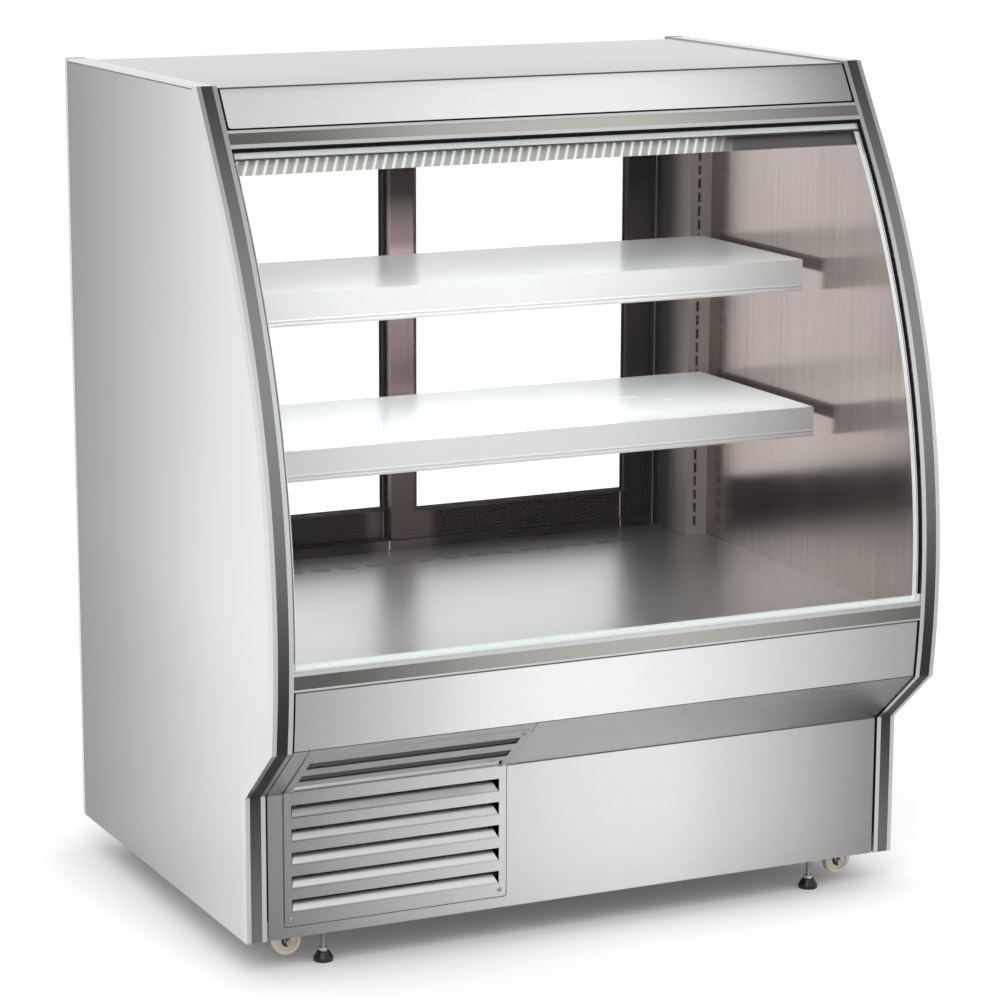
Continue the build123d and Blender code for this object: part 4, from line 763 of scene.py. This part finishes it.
def pane_material(name, tint, edge, edge_x):
    """Clear glass that lets lamp light through, with green cut edges; on the front panes their colour is a
    painted highlight on the outer pane and painted shade on the inner one.
    """
    material, tree, shader = new_material(name)
    output = tree.nodes["Material Output"]
    shader.inputs["Transmission Weight"].default_value = 1.0
    shader.inputs["IOR"].default_value = pane_ior
    across = math_node(tree, "ABSOLUTE", axes(tree)[0])
    painted_rim = edge_mask(tree, across, edge_x, painted_edge_depth, painted_edge_soft)
    wire(tree, mix_colours(tree, painted_rim, tint, edge), shader.inputs["Base Color"])
    smear = soft_cloud(tree, 4.0)
    wire(tree, range_node(tree, smear, 0.3, 0.8, 0.0, 0.02), shader.inputs["Roughness"])
    clear = place_node(tree, "ShaderNodeBsdfTransparent")
    clear.inputs["Color"].default_value = (*tint, 1.0)
    rays = place_node(tree, "ShaderNodeLightPath")
    blend = place_node(tree, "ShaderNodeMixShader")
    open_way = largest(tree, rays.outputs["Is Shadow Ray"], rays.outputs["Is Diffuse Ray"])
    wire(tree, open_way, blend.inputs[0])
    wire(tree, shader.outputs["BSDF"], blend.inputs[1])
    wire(tree, clear.outputs["BSDF"], blend.inputs[2])
    wire(tree, blend.outputs[0], output.inputs["Surface"])
    return material


def shelf_glass_material():
    """Satin shelf glass: nearly white over the tray, with a trace of green."""
    material, tree, shader = new_material("shelf_glass")
    drift = soft_cloud(tree, 3.0)
    colour = mix_colours(tree, drift, (0.92, 0.955, 0.945), (0.955, 0.975, 0.970))
    wire(tree, colour, shader.inputs["Base Color"])
    wire(tree, spread(tree, drift, 0.20, 0.28), shader.inputs["Roughness"])
    return material


def canopy_material():
    """White ceiling whose front lip glows with painted slanted streaks of lamp light, a painted reflection
    that fades to the right, and is painted dark beyond them.
    """
    material, tree, shader = new_material("canopy_enamel")
    x, y, z = axes(tree)
    base = mix_colours(tree, soft_cloud(tree, 3.0), (0.70, 0.70, 0.69), (0.80, 0.80, 0.79))
    lip = range_node(tree, y, canopy_lip_back, canopy_lip_back + 0.001, 1.0, 0.0)
    slanted = math_node(tree, "SUBTRACT", x, math_node(tree, "MULTIPLY", z, streak_slant))
    wave = math_node(tree, "FRACT", math_node(tree, "DIVIDE", slanted, streak_pitch))
    ridge = math_node(tree, "ABSOLUTE", math_node(tree, "SUBTRACT", wave, 0.5))
    stripe = range_node(tree, ridge, 0.03, 0.24, 0.52, 0.0)
    fade = range_node(tree, x, streak_fade, streak_end, 1.0, 0.0)
    lit = math_node(tree, "MULTIPLY", math_node(tree, "MULTIPLY", stripe, fade), lip)
    # The lip is grey under the streaks and painted dark past them, as a painted reflection.
    plain = mix_colours(tree, fade, (0.055, 0.052, 0.046), (0.40, 0.40, 0.375))
    wire(tree, mix_colours(tree, lip, base, plain), shader.inputs["Base Color"])
    # The streaks glow: a painted reflection of the lamps.
    wire(tree, mix_colours(tree, lit, grey(0.0), (1.0, 1.0, 0.97)), shader.inputs["Emission Color"])
    shader.inputs["Emission Strength"].default_value = 1.0
    shader.inputs["Roughness"].default_value = 0.3
    return material


def lamp_material():
    """Glowing lamp cover."""
    material, tree, shader = new_material("lamp_glow")
    glow = mix_colours(tree, soft_cloud(tree, 20.0), (0.90, 0.95, 1.0), (1.0, 1.0, 1.0))
    wire(tree, glow, shader.inputs["Emission Color"])
    shader.inputs["Base Color"].default_value = (0.9, 0.9, 0.9, 1.0)
    shader.inputs["Emission Strength"].default_value = lamp_strength
    return material


def wheel_material(name, centre_x, centre_z):
    """Cream wheel with a black ring round its hub."""
    material, tree, shader = new_material(name)
    x, _, z = axes(tree)
    across = math_node(tree, "SUBTRACT", x, centre_x)
    up = math_node(tree, "SUBTRACT", z, centre_z)
    across_square = math_node(tree, "MULTIPLY", across, across)
    up_square = math_node(tree, "MULTIPLY", up, up)
    radius = math_node(tree, "SQRT", math_node(tree, "ADD", across_square, up_square))
    tread = range_node(tree, radius, hub_radius, hub_radius + 0.0004)
    drift = soft_cloud(tree, 40.0)
    cream = mix_colours(tree, drift, (0.62, 0.55, 0.42), (0.76, 0.69, 0.56))
    black = mix_colours(tree, drift, (0.015, 0.014, 0.013), (0.030, 0.027, 0.025))
    wire(tree, mix_colours(tree, tread, black, cream), shader.inputs["Base Color"])
    wire(tree, spread(tree, drift, 0.32, 0.45), shader.inputs["Roughness"])
    return material


def foot_material():
    """Black moulded pad under a zinc nut and a threaded stem."""
    material, tree, shader = new_material("foot_black_and_zinc")
    z = axes(tree)[2]
    metal = range_node(tree, z, pad_top, pad_top + 0.0002)
    grain, drift = add_brushing(tree, (60.0, 60.0, 900.0), 60.0)
    black = mix_colours(tree, drift, grey(0.010), grey(0.020))
    zinc = mix_colours(tree, grain, (0.52, 0.52, 0.50), (0.80, 0.80, 0.77))
    wire(tree, mix_colours(tree, metal, black, zinc), shader.inputs["Base Color"])
    wire(tree, metal, shader.inputs["Metallic"])
    wire(tree, spread(tree, grain, 0.26, 0.40), shader.inputs["Roughness"])
    turns = math_node(tree, "SINE", math_node(tree, "MULTIPLY", z, 2.0 * math.pi / thread_pitch))
    stem = range_node(tree, z, pad_top + stem_start, pad_top + stem_start + 0.0004)
    add_bump(tree, shader, math_node(tree, "MULTIPLY", turns, stem), 0.0004, strength=0.6)
    return material


def finish_patterned_parts():
    """Glass, seals, cores, inserts, canopy, lamps, wheels and feet."""
    assign(spacer_material(), "glass_spacer")
    assign(seal_material(), "glass_seals")
    assign(core_material(), "foam_cores")
    assign(insert_material(), "trim_inserts")
    clear_tint = (0.996, 0.9995, 0.998)
    # The outer pane's cut edge is painted pale as a highlight, the inner pane's dark as shade.
    outer = pane_material("front_glass_outer", clear_tint, (0.88, 0.93, 0.91), glass_edge_x)
    assign(outer, "glass_outer_pane")
    inner = pane_material("front_glass_inner", clear_tint, (0.42, 0.50, 0.47), glass_edge_x)
    assign(inner, "glass_inner_pane")
    past_edges = 2.0
    door_glass = pane_material("door_glass", (0.995, 0.998, 0.998), (0.5, 0.7, 0.62), past_edges)
    assign(door_glass, "left_door_glass", "right_door_glass")
    assign(shelf_glass_material(), "lower_shelf_glass", "upper_shelf_glass")
    assign(canopy_material(), "canopy_panel")
    assign(lamp_material(), "led_lamps")
    for corner in corners:
        low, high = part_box(f"caster_wheel_{corner}")
        middle = (low + high) / 2
        assign(wheel_material(f"wheel_{corner}", middle.x, middle.z), f"caster_wheel_{corner}")
    assign(foot_material(), *[name for name in nodes if name.startswith("foot_")])


# Modelled pieces
screw_radius = 0.0042
screw_height = 0.0022
vent_pitch = 0.020
vent_count = 8
vent_level = case_bottom + 0.170


def clear_selection():
    """Deselects everything before a new piece is begun."""
    bpy.ops.object.select_all(action="DESELECT")


def make_active(piece):
    """Selects one piece alone and makes it the active one."""
    clear_selection()
    piece.select_set(True)
    bpy.context.view_layer.objects.active = piece


def settle(piece):
    """Puts a piece's place, turn and scale into its mesh."""
    make_active(piece)
    bpy.ops.object.transform_apply(location=True, rotation=True, scale=True)


def block_between(name, low, high):
    """Block between two corners, ready to be shaped."""
    clear_selection()
    low = Vector(low)
    high = Vector(high)
    bpy.ops.mesh.primitive_cube_add(size=1.0, location=(low + high) / 2)
    piece = bpy.context.active_object
    piece.name = name
    piece.scale = high - low
    settle(piece)
    return piece


def disc_on_floor(name, sides, radius, height):
    """Upright prism standing on the origin, ready to be shaped."""
    clear_selection()
    middle = (0.0, 0.0, height / 2)
    bpy.ops.mesh.primitive_cylinder_add(vertices=sides, radius=radius, depth=height, location=middle)
    piece = bpy.context.active_object
    piece.name = name
    settle(piece)
    return piece


def edit_faces(piece, wanted):
    """Edit mode with only the faces selected whose centre and normal are wanted."""
    bpy.context.view_layer.objects.active = piece
    bpy.ops.object.mode_set(mode="EDIT")
    bpy.ops.mesh.select_mode(type="FACE")
    bpy.ops.mesh.select_all(action="DESELECT")
    bpy.ops.object.mode_set(mode="OBJECT")
    for face in piece.data.polygons:
        face.select = wanted(face.center, face.normal)
    bpy.ops.object.mode_set(mode="EDIT")


def edit_top_face(piece):
    """Edit mode with only the upward faces selected."""
    edit_faces(piece, lambda centre, normal: normal.z > 0.9)


def leave_edit():
    """Back to object mode."""
    bpy.ops.object.mode_set(mode="OBJECT")


def use_modifier(piece, kind, **settings):
    """Modifier added with its settings and applied."""
    make_active(piece)
    modifier = piece.modifiers.new(kind.lower(), kind)
    for key, value in settings.items():
        setattr(modifier, key, value)
    bpy.ops.object.modifier_apply(modifier=modifier.name)


def bevel(piece, width, segments, edge_angle, shade_angle):
    """Rounds the edges sharper than one angle and shades the piece by another, in degrees."""
    limit = math.radians(edge_angle)
    use_modifier(piece, "BEVEL", width=width, segments=segments, limit_method="ANGLE", angle_limit=limit)
    bpy.ops.object.shade_smooth_by_angle(angle=math.radians(shade_angle))


def soften(piece, width, segments=2):
    """Rounds the sharp edges and shades the piece by angle."""
    bevel(piece, width, segments, 35, 40)


def cut_with(piece, cutter):
    """Takes a cutter out of a piece and removes the cutter."""
    use_modifier(piece, "BOOLEAN", object=cutter, operation="DIFFERENCE", solver="EXACT")
    bpy.data.objects.remove(cutter, do_unlink=True)


def copies_of(source, places):
    """One copy of a model for each placing matrix; the model itself goes away."""
    made = []
    for place in places:
        copy = source.copy()
        copy.data = source.data.copy()
        bpy.context.scene.collection.objects.link(copy)
        copy.matrix_world = place
        settle(copy)
        made.append(copy)
    bpy.data.objects.remove(source, do_unlink=True)
    return made


def joined(name, pieces):
    """Several meshes joined into one named piece."""
    clear_selection()
    for piece in pieces:
        piece.select_set(True)
    bpy.context.view_layer.objects.active = pieces[0]
    bpy.ops.object.join()
    pieces[0].name = name
    clear_selection()
    return pieces[0]


def finish_piece(piece, material, body):
    """Gives a piece its material and the body it rides on."""
    piece.data.materials.clear()
    piece.data.materials.append(material)
    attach(piece, body)


def facing(place, outward):
    """Matrix that stands a model on a surface with the given outward direction."""
    turn = Vector(outward).to_track_quat("Z", "Y").to_matrix().to_4x4()
    return Matrix.Translation(Vector(place)) @ turn


def model_pan_head():
    """Domed screw head with a cross recess, standing on the origin."""
    head = disc_on_floor("pan_head", 24, screw_radius, screw_height * 0.45)
    edit_top_face(head)
    for narrowing, rise in ((0.14, 0.28), (0.22, 0.20), (0.26, 0.07)):
        bpy.ops.mesh.extrude_region_move()
        bpy.ops.transform.resize(value=(1.0 - narrowing, 1.0 - narrowing, 1.0))
        bpy.ops.transform.translate(value=(0.0, 0.0, screw_height * rise))
    leave_edit()
    reach = screw_radius * 0.62
    width = screw_radius * 0.15
    foot = screw_height * 0.35
    for long, short in ((reach, width), (width, reach)):
        cut_with(head, block_between("recess", (-long, -short, foot), (long, short, screw_height * 2.0)))
    bevel(head, screw_radius * 0.03, 1, 50, 35)
    return head


def model_hex_nut(radius, height):
    """Chamfered hexagonal nut with the rounded end of its bolt."""
    nut = disc_on_floor("hex_nut", 6, radius, height * 0.7)
    edit_top_face(nut)
    bpy.ops.mesh.inset(thickness=radius * 0.28)
    leave_edit()
    soften(nut, radius * 0.07)
    bolt = disc_on_floor("bolt_end", 16, radius * 0.48, height)
    soften(bolt, radius * 0.16, 3)
    return joined("hex_nut", [nut, bolt])


def model_button(radius, height):
    """Round push button with a dished face."""
    button = disc_on_floor("button", 20, radius, height)
    edit_top_face(button)
    bpy.ops.mesh.inset(thickness=0.0010)
    bpy.ops.transform.translate(value=(0.0, 0.0, -0.0004))
    leave_edit()
    soften(button, 0.0005)
    return button


def model_vent_hood(face_y):
    """Pressed hood over one air slot, hollow from below, at the level of the origin."""
    half_height = 0.0065
    low = (-0.450, face_y - 0.0002, -half_height)
    high = (-0.150, face_y + 0.0060, half_height)
    hood = block_between("hood", low, high)
    edit_faces(hood, lambda centre, normal: normal.z < -0.9)
    bpy.ops.mesh.inset(thickness=0.0012)
    bpy.ops.mesh.extrude_region_move(TRANSFORM_OT_translate={"value": (0.0, 0.0, 0.0085)})
    leave_edit()
    soften(hood, 0.0022, 3)
    return hood


def add_grille_screws(material):
    """Six pan head screws that hold the grille."""
    low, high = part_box("panel_screws")
    xs = (low.x + 0.004, high.x - 0.004)
    sheet_face = kick_face - 0.0015
    places = [facing((x, sheet_face, case_bottom + 0.032), (0.0, -1.0, 0.0)) for x in xs]
    for run in (0.033, 0.1496):
        seat = knee_place + down_slope * run - slope_outward * 0.0005
        places += [facing((x, seat.y, seat.z), slope_outward) for x in xs]
    screws = joined("grille_screws", copies_of(model_pan_head(), places))
    finish_piece(screws, material, "cabinet")
    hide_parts("panel_screws")


def add_axle_nuts(material):
    """Bright nut and bolt end on both sides of each caster."""
    for corner in corners:
        low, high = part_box(f"caster_wheel_{corner}")
        centre = (low + high) / 2
        fork_low, fork_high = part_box(f"caster_fork_{corner}")
        leg = (fork_high.y - fork_low.y) / 2 - 0.0015
        places = [facing((centre.x, centre.y + side * leg, centre.z), (0.0, side, 0.0)) for side in (-1, 1)]
        nuts = joined(f"axle_nuts_{corner}", copies_of(model_hex_nut(0.0062, 0.0050), places))
        finish_piece(nuts, material, f"caster_fork_{corner}")


def add_condenser_fins(material):
    """Close fins between end plates in place of the plain condenser."""
    low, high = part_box("condenser_coil")
    fin_pitch = 0.0031
    fin_thickness = 0.00035
    plate_thickness = 0.002
    margin = 0.003
    start = low.x + margin
    fin = block_between("fin", (start, low.y, low.z), (start + fin_thickness, high.y, high.z))
    edit_faces(fin, lambda centre, normal: abs(normal.x) > 0.9)
    bpy.ops.mesh.inset(thickness=0.0025)
    leave_edit()
    use_modifier(
        fin,
        "ARRAY",
        count=int((high.x - low.x - 2 * margin) / fin_pitch),
        use_relative_offset=False,
        use_constant_offset=True,
        constant_offset_displace=(fin_pitch, 0.0, 0.0),
    )
    plates = []
    for near in (low.x, high.x - plate_thickness):
        plate = block_between("end_plate", (near, low.y, low.z), (near + plate_thickness, high.y, high.z))
        soften(plate, 0.0004)
        plates.append(plate)
    core = joined("condenser_fins", [fin, *plates])
    finish_piece(core, material, "cabinet")
    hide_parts("condenser_coil")


def add_condenser_tubes(material):
    """Two rows of tubes through the condenser."""
    low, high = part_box("condenser_coil")
    tube_levels = 8
    tube_inset = 0.012
    stand_out = 0.003
    height = high.z - low.z
    tubes = []
    for index in range(tube_levels):
        level = low.z + height * (index + 0.5) / tube_levels
        for y in (low.y + tube_inset, high.y - tube_inset):
            tube = disc_on_floor("tube", 12, 0.0040, high.x - low.x + 2 * stand_out)
            tube.matrix_world = facing((low.x - stand_out, y, level), (1.0, 0.0, 0.0))
            settle(tube)
            bpy.ops.object.shade_smooth_by_angle(angle=math.radians(40))
            tubes.append(tube)
    pipes = joined("condenser_tubes", tubes)
    finish_piece(pipes, material, "cabinet")


def add_glazing_beads(material):
    """Soft black bead round both faces of each door's pane."""
    bite = 0.008
    width = 0.006
    depth = 0.0028
    spare = 0.01
    inner = bite + width
    for side in ("left", "right"):
        low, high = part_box(f"{side}_door_glass")
        beads = []
        for near, far in ((low.y - depth, low.y), (high.y, high.y + depth)):
            bead_low = (low.x + bite, near, low.z + bite)
            bead_high = (high.x - bite, far, high.z - bite)
            bead = block_between("bead", bead_low, bead_high)
            opening_low = (low.x + inner, near - spare, low.z + inner)
            opening_high = (high.x - inner, far + spare, high.z - inner)
            cut_with(bead, block_between("opening", opening_low, opening_high))
            soften(bead, 0.0009, 3)
            beads.append(bead)
        piece = joined(f"{side}_door_beads", beads)
        finish_piece(piece, material, f"{side}_door")


def add_rear_hoods(material):
    """Row of hoods over the rear air slots."""
    hood = model_vent_hood(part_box("rear_vent_panel")[1].y)
    middle = (vent_count - 1) / 2
    levels = [vent_level + vent_pitch * (index - middle) for index in range(vent_count)]
    rows = [Matrix.Translation((0.0, 0.0, level)) for level in levels]
    hoods = joined("rear_slot_hoods", copies_of(hood, rows))
    finish_piece(hoods, material, "cabinet")


def add_rear_screws(material):
    """Eight pan head screws round the edge of the rear panel."""
    low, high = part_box("rear_vent_panel")
    inset = 0.012
    middle = (low.z + high.z) / 2
    places = []
    for x in (low.x + inset, 0.0, high.x - inset):
        for z in (low.z + inset, middle, high.z - inset):
            if x or z != middle:
                places.append(facing((x, high.y, z), (0.0, 1.0, 0.0)))
    screws = joined("rear_panel_screws", copies_of(model_pan_head(), places))
    finish_piece(screws, material, "cabinet")


def add_control_buttons(material):
    """Three buttons under the display window of the controls."""
    bezel_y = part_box("control_box")[1].y - 0.008
    level = vent_level - 0.0215
    spots = [facing((0.330 + offset, bezel_y, level), (0.0, 1.0, 0.0)) for offset in (-0.012, 0.0, 0.012)]
    buttons = joined("control_buttons", copies_of(model_button(0.0042, 0.0022), spots))
    finish_piece(buttons, material, "cabinet")


# Studio
def camera_sight(tree):
    """One for what the camera sees, straight or through glass."""
    rays = place_node(tree, "ShaderNodeLightPath")
    return largest(tree, rays.outputs["Is Camera Ray"], rays.outputs["Is Transmission Ray"])


def add_floor():
    """Pale floor, lifted to white for the camera away from the case and lifted less near it, which paints a
    shadow round the case.
    """
    bpy.ops.mesh.primitive_plane_add(size=40.0, location=(0.0, 0.0, 0.0))
    floor = bpy.context.active_object
    floor.name = "floor"
    material, tree, shader = new_material("floor_white")
    shader.inputs["Base Color"].default_value = (0.94, 0.94, 0.94, 1.0)
    shader.inputs["Roughness"].default_value = 0.9
    shader.inputs["Specular IOR Level"].default_value = 0.0
    output = tree.nodes["Material Output"]
    glow = place_node(tree, "ShaderNodeEmission")
    x, y, _ = axes(tree)
    past_side = math_node(tree, "SUBTRACT", math_node(tree, "ABSOLUTE", x), cad_box[1][0])
    past_front = math_node(tree, "SUBTRACT", kick_face, y)
    past_back = math_node(tree, "SUBTRACT", y, cad_box[1][1])
    past = largest(tree, past_side, past_front, past_back)
    lift = range_node(tree, past, 0.0, floor_lift_reach, floor_lift_near, floor_lift_far)
    wire(tree, math_node(tree, "MULTIPLY", camera_sight(tree), lift), glow.inputs["Strength"])
    add = place_node(tree, "ShaderNodeAddShader")
    wire(tree, shader.outputs["BSDF"], add.inputs[0])
    wire(tree, glow.outputs[0], add.inputs[1])
    wire(tree, add.outputs[0], output.inputs["Surface"])
    floor.data.materials.append(material)
    clear_selection()


def add_world():
    """White backdrop for the camera, and a soft studio gradient for light and gloss."""
    world = bpy.data.worlds.new("studio")
    world.use_nodes = True
    tree = world.node_tree
    tree.nodes.clear()
    output = tree.nodes.new("ShaderNodeOutputWorld")
    backdrop = place_node(tree, "ShaderNodeBackground")
    backdrop.inputs["Color"].default_value = (1.0, 1.0, 1.0, 1.0)
    room = place_node(tree, "ShaderNodeBackground")
    direction = place_node(tree, "ShaderNodeTexCoord").outputs["Generated"]
    parts = place_node(tree, "ShaderNodeSeparateXYZ")
    wire(tree, direction, parts.inputs[0])
    height = range_node(tree, parts.outputs[2], -0.1, 0.9)
    wire(tree, mix_colours(tree, height, grey(0.80), (0.95, 0.95, 0.96)), room.inputs["Color"])
    room.inputs["Strength"].default_value = world_strength
    blend = place_node(tree, "ShaderNodeMixShader")
    wire(tree, camera_sight(tree), blend.inputs[0])
    wire(tree, room.outputs[0], blend.inputs[1])
    wire(tree, backdrop.outputs[0], blend.inputs[2])
    wire(tree, blend.outputs[0], output.inputs["Surface"])
    bpy.context.scene.world = world


# Finishes on the CAD parts
finish_end_skins()
finish_top()
finish_front_sheets()
finish_inside()
finish_extrusions()
finish_rear_frames()
fins, copper = finish_hardware()
finish_coated_parts()
finish_patterned_parts()

# Pieces that only the scene has
screw_metal = brushed_metal("screw_chrome", grey(0.34), (0.56, 0.56, 0.55), 0.22, (80.0, 80.0, 80.0))
bead_rubber = coated("bead_rubber", grey(0.010), grey(0.018), 0.5)
add_grille_screws(screw_metal)
add_axle_nuts(screw_metal)
add_condenser_fins(fins)
add_condenser_tubes(copper)
add_glazing_beads(bead_rubber)
add_rear_hoods(nodes["rear_vent_panel"].data.materials[0])
add_rear_screws(screw_metal)
add_control_buttons(bead_rubber)

# View, world, floor, lights and camera
bpy.context.scene.view_settings.view_transform = "Standard"
add_world()
add_floor()
case_middle = (0.0, 0.0, 0.6)
add_area_light("key_light", (-2.2, -2.8, 4.2), case_middle, (3.0, 3.0), 60.0)
add_area_light("right_light", (3.6, 0.6, 3.0), case_middle, (2.0, 2.0), 14.0)
add_camera()
